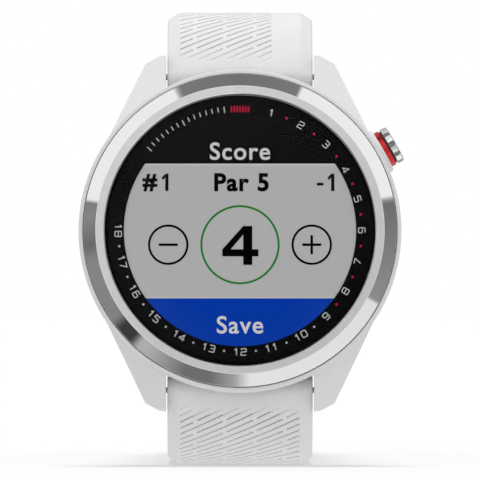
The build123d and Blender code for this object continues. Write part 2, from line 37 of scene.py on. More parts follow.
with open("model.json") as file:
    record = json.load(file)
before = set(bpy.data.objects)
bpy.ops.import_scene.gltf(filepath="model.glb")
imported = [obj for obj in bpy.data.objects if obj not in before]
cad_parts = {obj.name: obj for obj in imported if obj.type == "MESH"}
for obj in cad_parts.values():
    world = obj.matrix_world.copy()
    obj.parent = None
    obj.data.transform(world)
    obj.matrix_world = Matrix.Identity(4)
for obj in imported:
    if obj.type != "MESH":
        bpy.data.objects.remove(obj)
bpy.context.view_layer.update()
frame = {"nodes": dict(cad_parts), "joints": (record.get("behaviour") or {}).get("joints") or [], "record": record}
record = frame["record"]
joints = {joint["name"]: joint for joint in frame["joints"]}


def widest(node):
    """Half the width of a round CAD node, in millimetres."""
    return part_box(node)[1].x / MM


# ---- sizes from the frame ----
LENS_R = widest("lens")
BEZEL_R = widest("bezel")
CASE_R = 21.95
FRONT_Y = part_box("bezel")[0].y / MM
LENS_FRONT_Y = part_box("lens")[0].y / MM
LENS_BACK_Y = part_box("lens")[1].y / MM
PANEL_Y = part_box("display_panel")[0].y / MM
SEAT_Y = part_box("bezel")[1].y / MM
BAR_Y = joints["upper_strap_swing"]["pos_m"][1] / MM
BAR_Z = joints["upper_strap_swing"]["pos_m"][2] / MM
PIN = Vector(joints["buckle_swing"]["pos_m"]) / MM

# ---- front ----
SCREEN_R = 15.8
LENS_SEAT_R = 18.5
LEDGE_R = 17.0
BRUSHED_R = 19.6
SLOPE_END_Y = -10.2

# ---- case ----
CAVITY_R = 18.2
OPENING_R = 16.5
FLOOR_Y = -3.0
CASE_BACK_Y = -1.0
CASE_BACK_R = 20.6
CASE_RIM_Y = -9.7
LUG_GAP = 20.2
LUG_TIP_Z = 24.2
LUG_ROOT_Y = -8.9
STRAP_WELL_Z = 19.4
STRAP_WELL_Y = -6.2

# ---- button, by distance from the watch's middle along its own axis ----
BUTTON_CLOCK = 60.0
BUTTON_Y = -5.4
BOSS_FACE = 22.45
BOSS_R = 3.15
WELL_R = 2.72
WELL_FLOOR = 20.0
STEM_BORE_R = 0.95
COLLAR_R = 2.6
COLLAR_IN = 21.0
COLLAR_OUT = 23.15
CAP_R = 2.65
CAP_IN = 23.4
CAP_OUT = 24.4
CAP_EDGE = 0.22           # the cap's outer edge is cut off at a slope, no farther out than the CAD cap's
SPIGOT_R = 1.5
NOTCHES = 10
NOTCH_DEPTH = 0.26
NOTCH_SHARE = 0.22

# ---- strap ----
HALF_W = 9.9
BEVEL_FROM = 8.3
EDGE_ROUND = 0.16
BARREL_R = 1.9
BUCKLE_BARREL_R = 1.7
LEAVING_LEAN = 15.0
BEND_START = 0.5
BEND_R = 10.3
BEND_A = 25.0
BEND_HALF_T = 1.7
UPPER_BEND_B = 90.0 - LEAVING_LEAN - BEND_A
STAND_LEAN = 3.7
LOWER_BEND_B = UPPER_BEND_B + STAND_LEAN
UPPER_ARC_R = 100.0
UPPER_ARC = 21.8
UPPER_END_RUN = 25.0
LOWER_ARC_R = 90.0
TAIL_LEAN = 132.65
LOWER_ARC = TAIL_LEAN - 90.0 - STAND_LEAN
THICK_HALF = 1.5
THIN_HALF = 1.2
BEVEL_T = 1.05
START_BEVEL_T = 0.3
BEND_BEVEL_T = 0.5
END_BEVEL_T = 0.7
FOOT_RUN = 24.0
TAIL_RUN = 14.0
TIP_ROUND = 8.0
HOLE_R = 1.25
HOLE_PITCH = 5.0
HOLE_COUNT = 14
FIRST_HOLE = 12.0
BAR_CUT_R = 0.92
LEVER_X = (4.0, 7.4)
LEVER_HALF = 1.1
PIN_BORE_R = 0.85
SLOT_HALF = 1.2
SLOT_SPAN = (-2.4, 3.0)

# ---- moulded lines on the strap ----
UPPER_FIELD = (-8.2, 4.3)
LOWER_FIELD = (-8.2, 8.1)
LINE_PITCH = 0.86
LINE_LEAN = 0.46
LINE_DEPTH = 0.25
LINE_HALF = 0.07
LINE_WALL = 0.05
LINE_FADE = (1.4, 3.0)
FLIP_START = 11.5
FLIP_LENGTH = 14.0
LINE_STOP = (12, 10)
PAINT_STOP = 11
HOLE_STRIP = 2.3

# ---- buckle ----
BUCKLE_INNER = 10.2
BUCKLE_OUTER = 12.0
WINDOW = 6.8
CROSSBAR = 1.8
ARM_END = -1.6
ARM_HALF_T = 1.1
KEEPER_BACK = 9.0
KEEPER_W = 6.0
KEEPER_WALL = 1.4
KEEPER_SIDE_GAP = 0.2
KEEPER_UNDER_GAP = 0.25
KEEPER_OVER_GAP = 0.4
TAIL_T = 2.4
TONGUE_HALF = 0.8


# ---- materials ----
def new_material(name):
    """A material with its shader node and node tree."""
    material = bpy.data.materials.new(name)
    material.use_nodes = True
    return material, material.node_tree, material.node_tree.nodes["Principled BSDF"]


def surface(name, colour, rough, tint=0.03, grain=1500.0, bump=0.01, stretch=(1, 1, 1), **sockets):
    """A material with mottled colour, uneven gloss and fine relief; bump is the relief's height."""
    material, tree, shader = new_material(name)
    for socket, value in sockets.items():
        shader.inputs[socket.replace("_", " ")].default_value = value
    make = tree.nodes.new
    link = tree.links.new
    place = make("ShaderNodeTexCoord")
    spread = make("ShaderNodeMapping")
    spread.inputs["Scale"].default_value = stretch
    link(place.outputs["Object"], spread.inputs["Vector"])
    speckle = make("ShaderNodeTexNoise")
    speckle.inputs["Scale"].default_value = grain
    speckle.inputs["Detail"].default_value = 4.0
    link(spread.outputs["Vector"], speckle.inputs["Vector"])
    cloud = make("ShaderNodeTexNoise")
    cloud.inputs["Scale"].default_value = grain / 12
    link(spread.outputs["Vector"], cloud.inputs["Vector"])
    shade = make("ShaderNodeValToRGB")
    shade.color_ramp.elements[0].position = 0.3
    shade.color_ramp.elements[1].position = 0.7
    shade.color_ramp.elements[0].color = [c * (1 - tint) for c in colour] + [1]
    shade.color_ramp.elements[1].color = [min(1, c * (1 + tint)) for c in colour] + [1]
    link(cloud.outputs["Fac"], shade.inputs["Fac"])
    link(shade.outputs["Color"], shader.inputs["Base Color"])
    gloss = make("ShaderNodeMapRange")
    gloss.inputs["To Min"].default_value = max(0.0, rough * 0.88)
    gloss.inputs["To Max"].default_value = min(1.0, rough * 1.12)
    link(speckle.outputs["Fac"], gloss.inputs["Value"])
    link(gloss.outputs["Result"], shader.inputs["Roughness"])
    relief = make("ShaderNodeBump")
    relief.inputs["Distance"].default_value = bump * MM
    relief.inputs["Strength"].default_value = 1.0
    link(speckle.outputs["Fac"], relief.inputs["Height"])
    link(relief.outputs["Normal"], shader.inputs["Normal"])
    return material


def turned_finish(name, colour, rough, lines, bump, **sockets):
    """Metal finished on a lathe: fine rings about the watch's axis."""
    material = surface(name, colour, rough, grain=lines, bump=bump, Metallic=1.0, **sockets)
    tree = material.node_tree
    make = tree.nodes.new
    link = tree.links.new
    place = tree.nodes["Texture Coordinate"]
    split = make("ShaderNodeSeparateXYZ")
    link(place.outputs["Object"], split.inputs["Vector"])
    flat = make("ShaderNodeCombineXYZ")
    link(split.outputs["X"], flat.inputs["X"])
    link(split.outputs["Z"], flat.inputs["Y"])
    radius = make("ShaderNodeVectorMath")
    radius.operation = "LENGTH"
    link(flat.outputs["Vector"], radius.inputs[0])
    ring = make("ShaderNodeCombineXYZ")
    link(radius.outputs["Value"], ring.inputs["X"])
    drift = make("ShaderNodeMath")
    drift.operation = "MULTIPLY"
    drift.inputs[1].default_value = 0.02
    link(split.outputs["X"], drift.inputs[0])
    link(drift.outputs["Value"], ring.inputs["Y"])
    noises = [n for n in tree.nodes if n.type == "TEX_NOISE"]
    speckle = next(n for n in noises if n.inputs["Scale"].default_value == lines)
    link(ring.outputs["Vector"], speckle.inputs["Vector"])
    return material


def lit(name, colour, rough, glow):
    """A part of the screen: its colour by daylight and a little light of its own."""
    material = surface(name, colour, rough, tint=0.01, bump=0.0005, Specular_IOR_Level=0.0)
    shader = material.node_tree.nodes["Principled BSDF"]
    shader.inputs["Emission Color"].default_value = (*colour, 1)
    shader.inputs["Emission Strength"].default_value = glow
    return material


WHITE_CASE = surface("white_polymer", (0.80, 0.80, 0.80), 0.42, tint=0.012, grain=2600, bump=0.0012)
WHITE_STRAP = surface("white_silicone", (0.82, 0.82, 0.825), 0.5, tint=0.012, grain=1800, bump=0.003)
# a darker grey for the floors of the moulded grooves: painted shade standing in for the shadow down in them
GROOVE_PAINTED_SHADE = surface("groove_silicone_painted_shade", (0.36, 0.36, 0.37), 0.7, tint=0.02, grain=1800, bump=0.003)
BRUSHED = turned_finish("brushed_ring", (0.80, 0.80, 0.81), 0.42, 9000, 0.003)
POLISHED = surface("polished_slope", (0.86, 0.86, 0.87), 0.03, tint=0.01, grain=900, bump=0.0, Metallic=1.0)
BLACK_GLASS = surface("glass_tint", (0.004, 0.004, 0.005), 0.03, tint=0.0, grain=400, bump=0.0, Alpha=0.14)
BLACK_PRINT = surface(
    "black_print", (0.002, 0.002, 0.002), 0.8, tint=0.05, bump=0.0005, Specular_IOR_Level=0.0
)
GREY_PRINT = surface("grey_print", (0.78, 0.78, 0.78), 0.5, tint=0.02, bump=0.0005, Specular_IOR_Level=0.05)
RED_PRINT = surface("red_print", (0.68, 0.012, 0.05), 0.5, tint=0.02, bump=0.0005, Specular_IOR_Level=0.05)
# real black rubber on the CAD seals, and also painted shade on the button's steel spigot where it shows in the gap
# to the collar
BLACK_RUBBER_AND_GAP_SHADE = surface("black_rubber", (0.02, 0.02, 0.02), 0.7, bump=0.01)
RED_METAL = surface(
    "red_anodised", (0.60, 0.035, 0.04), 0.24, tint=0.06, grain=2500, bump=0.0005, Metallic=0.9
)
CAP_METAL = surface(
    "button_steel", (0.80, 0.80, 0.81), 0.12, tint=0.03, grain=3000, bump=0.0003, Metallic=1.0
)
# the notches' steel: rougher, as unpolished steel is, and its colour darkened far below the cap's as painted shade
# in the scoops
NOTCH_SHADED_STEEL = surface(
    "notch_steel_painted_shade", (0.22, 0.22, 0.23), 0.35, tint=0.05, grain=3000, bump=0.001, Metallic=1.0
)
BUCKLE_METAL = surface(
    "buckle_steel", (0.66, 0.66, 0.67), 0.28,
    tint=0.04, grain=1500, bump=0.002, stretch=(0.1, 1, 1), Metallic=1.0
)
SCREEN_GREY = lit("screen_grey", (0.50, 0.50, 0.50), 0.6, 0.46)
SCREEN_LIGHT = lit("screen_light", (0.58, 0.58, 0.58), 0.6, 0.46)
SCREEN_BLACK = lit("screen_black", (0.002, 0.002, 0.002), 0.8, 0.0)
SCREEN_WHITE = lit("screen_white", (0.75, 0.75, 0.75), 0.5, 0.35)
SCREEN_BLUE = lit("screen_blue", (0.002, 0.045, 0.42), 0.6, 0.45)
SCREEN_GREEN = lit("screen_green", (0.02, 0.24, 0.03), 0.5, 0.3)
SCREEN_INK = lit("screen_ink", (0.002, 0.002, 0.002), 0.8, 0.0)

SLOT_LOOKS = {
    "white_polymer": WHITE_CASE,
    "steel_bezel": BRUSHED,
    "glass_lens": BLACK_GLASS,
    "black_rubber": BLACK_RUBBER_AND_GAP_SHADE,
    "black_mask": BLACK_PRINT,
    "display_stack": surface("display_stack", (0.02, 0.022, 0.025), 0.3, bump=0.001),
    "light_guide": surface("light_guide", (0.8, 0.82, 0.84), 0.2, bump=0.001),
    "antenna_brass": surface("antenna_brass", (0.68, 0.5, 0.2), 0.35, tint=0.06, bump=0.002, Metallic=1.0),
    "grey_frame": surface("grey_frame", (0.05, 0.05, 0.055), 0.5, bump=0.005),
    "circuit_board": surface("circuit_board", (0.01, 0.12, 0.05), 0.4, tint=0.12, bump=0.006),
    "chip_black": surface("chip_black", (0.02, 0.02, 0.02), 0.45, bump=0.004),
    "bare_steel": surface(
        "bare_steel", (0.55, 0.55, 0.56), 0.3, tint=0.04, grain=2500, bump=0.002, Metallic=1.0
    ),
    "flex_amber": surface("flex_amber", (0.45, 0.18, 0.03), 0.35, tint=0.08, bump=0.002),
    "battery_foil": surface("battery_foil", (0.6, 0.6, 0.62), 0.35, tint=0.05, bump=0.006, Metallic=0.9),
    "grey_foam": surface("grey_foam", (0.1, 0.1, 0.1), 0.9, tint=0.1, bump=0.05),
    "cover_polymer": surface("cover_polymer", (0.74, 0.74, 0.75), 0.5, tint=0.015, grain=2200, bump=0.006),
    "red_silicone": surface("red_silicone", (0.45, 0.03, 0.02), 0.6, bump=0.005),
    "gold_contact": surface(
        "gold_contact", (0.85, 0.6, 0.22), 0.18, tint=0.05, grain=4000, bump=0.001, Metallic=1.0
    ),
    "button_steel": CAP_METAL,
    "red_anodised": RED_METAL,
    "white_silicone": WHITE_STRAP,
    "buckle_steel": BUCKLE_METAL,
}


def dress_cad_nodes():
    """Every CAD node gets its slot's material."""
    for part in record["subparts"]:
        node = frame["nodes"][part["node"]]
        node.data.materials.clear()
        node.data.materials.append(SLOT_LOOKS[part["material_slot"]])


# ---- mesh helpers: points come in millimetres ----
def link_object(name, data):
    """A new object of the scene."""
    obj = bpy.data.objects.new(name, data)
    bpy.context.scene.collection.objects.link(obj)
    return obj


def add_object(name, mesh_source, materials):
    """Links a mesh under a name; mesh_source is a bmesh, which is used up."""
    mesh = bpy.data.meshes.new(name)
    mesh_source.to_mesh(mesh)
    mesh_source.free()
    for material in materials:
        mesh.materials.append(material)
    return link_object(name, mesh)


def face_out(bm):
    """Turns every face outwards."""
    bmesh.ops.recalc_face_normals(bm, faces=bm.faces)


def soften(bm, edges, size, segments=3):
    """Rounds edges off."""
    bmesh.ops.bevel(
        bm, geom=edges, offset=size * MM, segments=segments, profile=0.5, affect="EDGES", clamp_overlap=True
    )


def pour(source, target, name):
    """Moves one bmesh into another."""
    mesh = bpy.data.meshes.new(name)
    source.to_mesh(mesh)
    source.free()
    target.from_mesh(mesh)


def settle(bm):
    """Merges doubled points, drops slivers and turns every face outwards."""
    bmesh.ops.remove_doubles(bm, verts=bm.verts, dist=0.0004 * MM)
    bmesh.ops.dissolve_degenerate(bm, edges=bm.edges, dist=0.0004 * MM)
    face_out(bm)


def smooth(obj, angle=30.0, weighted=False):
    """Smooth shading with sharp edges above an angle."""
    obj.data.shade_smooth()
    obj.data.set_sharp_from_angle(angle=radians(angle))
    if weighted:
        even = obj.modifiers.new("even_shading", "WEIGHTED_NORMAL")
        even.keep_sharp = True
    return obj


def bake(obj):
    """Applies an object's modifiers to its mesh."""
    seen = bpy.context.evaluated_depsgraph_get()
    seen.update()
    mesh = bpy.data.meshes.new_from_object(obj.evaluated_get(seen))
    obj.modifiers.clear()
    obj.data = mesh
    return obj


def combine(target, tool, operation):
    """Adds a tool's solid to the target or cuts it away; the tool is used up."""
    step = target.modifiers.new(operation, "BOOLEAN")
    step.object = tool
    step.operation = operation
    step.solver = "EXACT"
    bake(target)
    bpy.data.objects.remove(tool)
    return target


def cut(target, name, tool):
    """Cuts a closed bmesh away from an object."""
    combine(target, add_object(name, tool, []), "DIFFERENCE")


WATCH_AXIS = Matrix(((1, 0, 0, 0), (0, 0, -1, 0), (0, 1, 0, 0), (0, 0, 0, 1)))
ACROSS_AXIS = Matrix(((0, 0, 1, 0), (1, 0, 0, 0), (0, 1, 0, 0), (0, 0, 0, 1)))
button_dir = Vector((sin(radians(BUTTON_CLOCK)), 0, cos(radians(BUTTON_CLOCK))))
across_button = Vector((cos(radians(BUTTON_CLOCK)), 0, -sin(radians(BUTTON_CLOCK))))
BUTTON_AXIS = Matrix.Translation((0, BUTTON_Y, 0)) @ Matrix(
    (
        (across_button.x, 0, button_dir.x, 0),
        (0, 1, 0, 0),
        (across_button.z, 0, button_dir.z, 0),
        (0, 0, 0, 1),
    )
)


def turned_mesh(profile, axis, segments, looks=None, radius_at=None):
    """A closed solid turned from (radius, distance along) points; looks gives each step's material."""
    bm = bmesh.new()
    rings = []
    for turn in range(segments):
        angle = 2 * pi * turn / segments
        ring = []
        for radius, along in profile:
            if radius_at:
                radius = radius_at(radius, angle)
            point = axis @ Vector((radius * cos(angle), radius * sin(angle), along))
            ring.append(bm.verts.new(point * MM))
        rings.append(ring)
    count = len(profile)
    for turn in range(segments):
        here = rings[turn]
        there = rings[(turn + 1) % segments]
        for step in range(count):
            after = (step + 1) % count
            if profile[step][0] == 0 and profile[after][0] == 0:
                continue
            face = bm.faces.new((here[step], here[after], there[after], there[step]))
            if looks:
                face.material_index = looks[step]
    settle(bm)
    return bm


def turned_front(points, segments, looks=None):
    """A solid turned about the watch's axis from (radius, y) points."""
    return turned_mesh([(radius, -y) for radius, y in points], WATCH_AXIS, segments, looks)


def prism(outline, plane, low, high):
    """A solid from an outline in a plane's first two axes, between two heights on its third."""
    bm = bmesh.new()
    bottom = [bm.verts.new(plane @ Vector((x, y, low)) * MM) for x, y in outline]
    top = [bm.verts.new(plane @ Vector((x, y, high)) * MM) for x, y in outline]
    bm.faces.new(bottom)
    bm.faces.new(top)
    for i in range(len(outline)):
        j = (i + 1) % len(outline)
        bm.faces.new((bottom[i], bottom[j], top[j], top[i]))
    face_out(bm)
    return bm


def arc(centre, radius, start, end, steps):
    """Points along an arc between two angles in degrees, anticlockwise from the first axis."""
    points = []
    for i in range(steps + 1):
        angle = radians(start + (end - start) * i / steps)
        points.append((centre[0] + radius * cos(angle), centre[1] + radius * sin(angle)))
    return points


def rounded_box_outline(half_x, half_y, radius, steps=6):
    """A rectangle with round corners, about the origin."""
    points = []
    for corner, (sx, sy) in enumerate(((1, 1), (-1, 1), (-1, -1), (1, -1))):
        centre = (sx * (half_x - radius), sy * (half_y - radius))
        points += arc(centre, radius, 90 * corner, 90 * corner + 90, steps)
    return points


# ---- front ----
def make_bezel():
    """Brushed ring, polished slope and the ledge under the glass."""
    edge = 0.06
    ring_fall = 0.07
    points = [
        (LEDGE_R, SEAT_Y),
        (BEZEL_R, SEAT_Y),
        (BEZEL_R, SLOPE_END_Y + edge),
        (BEZEL_R - edge * 0.4, SLOPE_END_Y),
        (BRUSHED_R + edge * 0.6, FRONT_Y + ring_fall),
        (BRUSHED_R - edge * 0.3, FRONT_Y + ring_fall * 0.7),
        (LENS_SEAT_R + 0.08, FRONT_Y),
        (LENS_SEAT_R, FRONT_Y + 0.08),
        (LENS_SEAT_R, LENS_BACK_Y + 0.2),
        (LEDGE_R, LENS_BACK_Y + 0.2),
    ]
    looks = [0, 0, 0, 1, 1, 0, 1, 0, 0, 0]
    ring = add_object("bezel_ring", turned_front(points, 360, looks), [BRUSHED, POLISHED])
    smooth(ring, 8)
    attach(ring, "case")
    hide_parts("bezel")


def make_glass():
    """The glass, with a sloped edge and a soft corner."""
    chamfer = 0.38
    points = [
        (0, LENS_BACK_Y),
        (LENS_R, LENS_BACK_Y),
        (LENS_R, LENS_FRONT_Y + chamfer),
        (LENS_R - 0.05, LENS_FRONT_Y + chamfer - 0.07),
        (LENS_R - chamfer, LENS_FRONT_Y + 0.03),
        (LENS_R - chamfer - 0.1, LENS_FRONT_Y),
        (0, LENS_FRONT_Y),
    ]
    glass = add_object("dial_glass", turned_front(points, 256), [BLACK_GLASS])
    smooth(glass, 20)
    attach(glass, "case")
    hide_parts("lens")


BORDER_FRONT = LENS_BACK_Y - 0.03
PRINT_BACK = BORDER_FRONT + 0.005
PRINT_FRONT = BORDER_FRONT - 0.02


def make_border():
    """The black border printed under the glass."""
    points = [
        (SCREEN_R, BORDER_FRONT),
        (LENS_R - 0.04, BORDER_FRONT),
        (LENS_R - 0.04, PANEL_Y - 0.01),
        (SCREEN_R, PANEL_Y - 0.01),
    ]
    border = add_object("dial_border", turned_front(points, 256), [BLACK_PRINT])
    smooth(border)
    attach(border, "case")
    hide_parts("dial_mask")


# digits as strokes in a box 0.8 wide and 1 high, with cut corners
STROKES = {
    "0": [("loop", (0.1, 0), (0.7, 0), (0.8, 0.1), (0.8, 0.9), (0.7, 1), (0.1, 1), (0, 0.9), (0, 0.1))],
    "1": [("line", (0.12, 0.78), (0.42, 1), (0.42, 0))],
    "2": [
        ("line", (0, 0.82), (0.1, 1), (0.7, 1), (0.8, 0.9), (0.8, 0.62),
         (0.7, 0.52), (0.1, 0.48), (0, 0.4), (0, 0), (0.8, 0)),
    ],
    "3": [
        ("line", (0, 1), (0.7, 1), (0.8, 0.9), (0.8, 0.1), (0.7, 0), (0, 0)),
        ("line", (0.2, 0.52), (0.8, 0.52)),
    ],
    "4": [("line", (0.6, 0), (0.6, 1), (0, 0.28), (0.85, 0.28))],
    "5": [("line", (0.8, 1), (0, 1), (0, 0.56), (0.7, 0.56), (0.8, 0.46), (0.8, 0.1), (0.7, 0), (0, 0))],
    "6": [
        ("line", (0.75, 1), (0.1, 1), (0, 0.9), (0, 0.1), (0.1, 0),
         (0.7, 0), (0.8, 0.1), (0.8, 0.46), (0.7, 0.56), (0, 0.56)),
    ],
    "7": [("line", (0, 1), (0.8, 1), (0.28, 0))],
    "8": [
        ("loop", (0.1, 0), (0.7, 0), (0.8, 0.1), (0.8, 0.9), (0.7, 1), (0.1, 1), (0, 0.9), (0, 0.1)),
        ("line", (0, 0.52), (0.8, 0.52)),
    ],
    "9": [
        ("line", (0.05, 0), (0.7, 0), (0.8, 0.1), (0.8, 0.9), (0.7, 1),
         (0.1, 1), (0, 0.9), (0, 0.54), (0.1, 0.44), (0.8, 0.44)),
    ],
}
DIGIT_STEP = 1.12
DIGIT_W = 0.8


def add_stroke(bm, points, width, closed, back, front):
    """A flat stroke of even width with mitred corners, on a dial plane between two depths."""
    count = len(points)
    stations = []
    for i, point in enumerate(points):
        before = points[i - 1] if closed or i else None
        after = points[(i + 1) % count] if closed or i < count - 1 else None
        into = (point - before).normalized() if before is not None else None
        out = (after - point).normalized() if after is not None else None
        into = into if into is not None else out
        out = out if out is not None else into
        side_in = Vector((-into.y, into.x))
        side_out = Vector((-out.y, out.x))
        mitre = (side_in + side_out).normalized()
        reach = width / 2 / max(0.4, mitre.dot(side_in))
        corners = []
        for sign in (1, -1):
            spot = point + mitre * reach * sign
            corners.append(bm.verts.new(Vector((spot.x, back, spot.y)) * MM))
            corners.append(bm.verts.new(Vector((spot.x, front, spot.y)) * MM))
        stations.append(corners)
    for i in range(count if closed else count - 1):
        a = stations[i]
        b = stations[(i + 1) % count]
        for left, right in ((0, 1), (1, 3), (3, 2), (2, 0)):
            bm.faces.new((a[left], a[right], b[right], b[left]))
    if not closed:
        for end in (stations[0], stations[-1]):
            bm.faces.new((end[0], end[1], end[3], end[2]))


def add_number(bm, text, radius, clock, height, heads_out, stroke):
    """A number on the border ring; its head points away from the middle, or to it."""
    total = DIGIT_W + DIGIT_STEP * (len(text) - 1)
    angle = radians(clock)
    outwards = Vector((sin(angle), cos(angle)))
    up = outwards if heads_out else -outwards
    right = Vector((up.y, -up.x))
    for place, digit in enumerate(text):
        for kind, *spots in STROKES[digit]:
            points = []
            for x, y in spots:
                along = (place * DIGIT_STEP + x - total / 2) * height
                points.append(outwards * radius + right * along + up * (y - 0.5) * height)
            add_stroke(bm, points, stroke, kind == "loop", PRINT_BACK, PRINT_FRONT)


def print_on_ring(name, bm, look):
    """A print on the border ring; it rides on the case."""
    face_out(bm)
    mark = add_object(name, bm, [look])
    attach(mark, "case")


NUMBER_R = 16.55
NUMBER_H = 0.88
NUMBER_STROKE = 0.125
LAST_HEADS_OUT = 6


def make_numbers():
    """The numbers 1 to 18 round the border."""
    bm = bmesh.new()
    for hole in range(1, 19):
        add_number(bm, str(hole), NUMBER_R, 15 * hole, NUMBER_H, hole <= LAST_HEADS_OUT, NUMBER_STROKE)
    print_on_ring("ring_numbers", bm, GREY_PRINT)


def add_dot(bm, radius, clock, size):
    """A round printed dot on the border ring."""
    angle = radians(clock)
    centre = (radius * sin(angle), radius * cos(angle))
    spots = arc(centre, size, 0, 360, 16)[:-1]
    low = [bm.verts.new(Vector((x, PRINT_BACK, z)) * MM) for x, z in spots]
    high = [bm.verts.new(Vector((x, PRINT_FRONT, z)) * MM) for x, z in spots]
    bm.faces.new(low)
    bm.faces.new(high)
    for i in range(len(spots)):
        j = (i + 1) % len(spots)
        bm.faces.new((low[i], low[j], high[j], high[i]))


DOT_SIZE = 0.175


def make_dots():
    """Dots between the numbers: red down the right, smaller and grey round the rest."""
    for name, look, first, last in (("red", RED_PRINT, 22.5, 127.5), ("grey", GREY_PRINT, 142.5, 262.5)):
        bm = bmesh.new()
        clock = first
        while clock <= last:
            add_dot(bm, NUMBER_R, clock, DOT_SIZE if name == "red" else DOT_SIZE * 0.8)
            clock += 15
        print_on_ring(f"ring_dots_{name}", bm, look)


def add_tick(bm, clock, inner, outer, width):
    """A straight mark along the radius."""
    angle = radians(clock)
    outwards = Vector((sin(angle), cos(angle)))
    add_stroke(bm, [outwards * inner, outwards * outer], width, False, PRINT_BACK, PRINT_FRONT)


def make_ticks():
    """Plain marks where the ring has no numbers: a grey scale at upper left and a red index at 12."""
    reach = 0.42
    short = 0.22
    bm = bmesh.new()
    for i in range(15):
        add_tick(bm, 312 + 2.9 * i, NUMBER_R - (short if i % 7 else reach), NUMBER_R + reach, 0.13)
    print_on_ring("ring_scale", bm, GREY_PRINT)
    bm = bmesh.new()
    for i in range(-3, 4):
        add_tick(bm, 1.35 * i, NUMBER_R - reach, NUMBER_R + reach, 0.22)
    print_on_ring("ring_index", bm, RED_PRINT)


# ---- screen ----
SCREEN_BACK = PANEL_Y + 0.01
SCREEN_FRONT = PANEL_Y - 0.05
INK_FRONT = SCREEN_FRONT - 0.03
HEADER_Z = 9.1
BAND_Z = -9.25


def disc_slice(low, high, radius=SCREEN_R - 0.02, steps=48):
    """The outline of the part of the screen between two heights."""
    a = asin(max(-1, low / radius))
    b = asin(min(1, high / radius))
    angles = [a + (b - a) * i / steps for i in range(steps + 1)]
    right = [(radius * cos(angle), radius * sin(angle)) for angle in angles]
    left = [(-x, y) for x, y in reversed(right)]
    points = []
    for point in right + left:
        if not points or (Vector(point) - Vector(points[-1])).length > 0.01:
            points.append(point)
    return points


def place_on_screen(obj):
    """Screen pieces ride on the case."""
    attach(obj, "case")
    return obj


def make_screen_fields():
    """The coloured areas of the screen."""
    line = 0.2
    areas = (
        ("screen_header", HEADER_Z, SCREEN_R, SCREEN_BLACK),
        ("screen_header_line", HEADER_Z - 0.3, HEADER_Z, SCREEN_LIGHT),
        ("screen_field", BAND_Z + line, HEADER_Z - 0.3, SCREEN_GREY),
        ("screen_band_line", BAND_Z, BAND_Z + line, SCREEN_LIGHT),
        ("screen_band", -SCREEN_R, BAND_Z, SCREEN_BLUE),
    )
    for name, low, high, look in areas:
        bm = prism(disc_slice(low, high), WATCH_AXIS, -SCREEN_BACK, -SCREEN_FRONT)
        place_on_screen(add_object(name, bm, [look]))


def make_ring(name, x, z, radius, width, look):
    """A thin circle drawn on the screen."""
    centre = Matrix.Translation((x, 0, z)) @ WATCH_AXIS
    inner = radius - width / 2
    outer = radius + width / 2
    profile = [(inner, -SCREEN_FRONT), (outer, -SCREEN_FRONT), (outer, -INK_FRONT), (inner, -INK_FRONT)]
    ring = add_object(name, turned_mesh(profile, centre, 96), [look])
    place_on_screen(smooth(ring))


def make_bar(name, x, z, half_x, half_z, look):
    """A short flat bar drawn on the screen."""
    outline = rounded_box_outline(half_x, half_z, min(half_x, half_z) * 0.3, 3)
    plane = Matrix.Translation((x, 0, z)) @ WATCH_AXIS
    place_on_screen(add_object(name, prism(outline, plane, -SCREEN_FRONT, -INK_FRONT), [look]))


def make_word(name, text, x, z, size, weight, look):
    """A word or number on the screen, centred on a point."""
    curve = bpy.data.curves.new(name, "FONT")
    curve.body = text
    curve.align_x = "CENTER"
    curve.align_y = "CENTER"
    curve.size = size * MM
    curve.space_character = 1.1
    curve.offset = weight * MM
    curve.extrude = abs(INK_FRONT - SCREEN_FRONT) / 2 * MM
    curve.resolution_u = 6
    holder = link_object(name + "_text", curve)
    seen = bpy.context.evaluated_depsgraph_get()
    seen.update()
    mesh = bpy.data.meshes.new_from_object(holder.evaluated_get(seen))
    bpy.data.objects.remove(holder)
    xs = [v.co.x for v in mesh.vertices]
    ys = [v.co.y for v in mesh.vertices]
    middle = Vector(((min(xs) + max(xs)) / 2, (min(ys) + max(ys)) / 2, 0))
    mesh.transform(Matrix.Translation(-middle))
    mesh.transform(Matrix.Translation(Vector((x, (SCREEN_FRONT + INK_FRONT) / 2, z)) * MM) @ WATCH_AXIS)
    mesh.materials.clear()
    mesh.materials.append(look)
    place_on_screen(link_object(name, mesh))


# bold figures as flat blocks in a box 1 wide and 1 high
BOLD = {
    "1": (
        ((0.46, 0), (0.76, 0), (0.76, 1), (0.46, 1)),
        ((0.12, 0.76), (0.24, 0.62), (0.46, 0.78), (0.46, 1)),
    ),
    "4": (
        ((0.58, 0), (0.83, 0), (0.83, 0.22), (0.58, 0.22)),
        ((0, 0.22), (1, 0.22), (1, 0.4), (0, 0.4)),
        ((0.58, 0.4), (0.83, 0.4), (0.83, 1), (0.58, 1)),
        ((0, 0.4), (0.23, 0.4), (0.58, 0.78), (0.58, 1)),
    ),
}


def make_figure(name, digit, x, z, width, height):
    """A bold black figure on the screen, centred on a point."""
    bm = bmesh.new()
    for block in BOLD[digit]:
        outline = [(x + (u - 0.5) * width, z + (v - 0.5) * height) for u, v in block]
        pour(prism(outline, WATCH_AXIS, -SCREEN_FRONT, -INK_FRONT), bm, "block")
    place_on_screen(add_object(name, bm, [SCREEN_INK]))


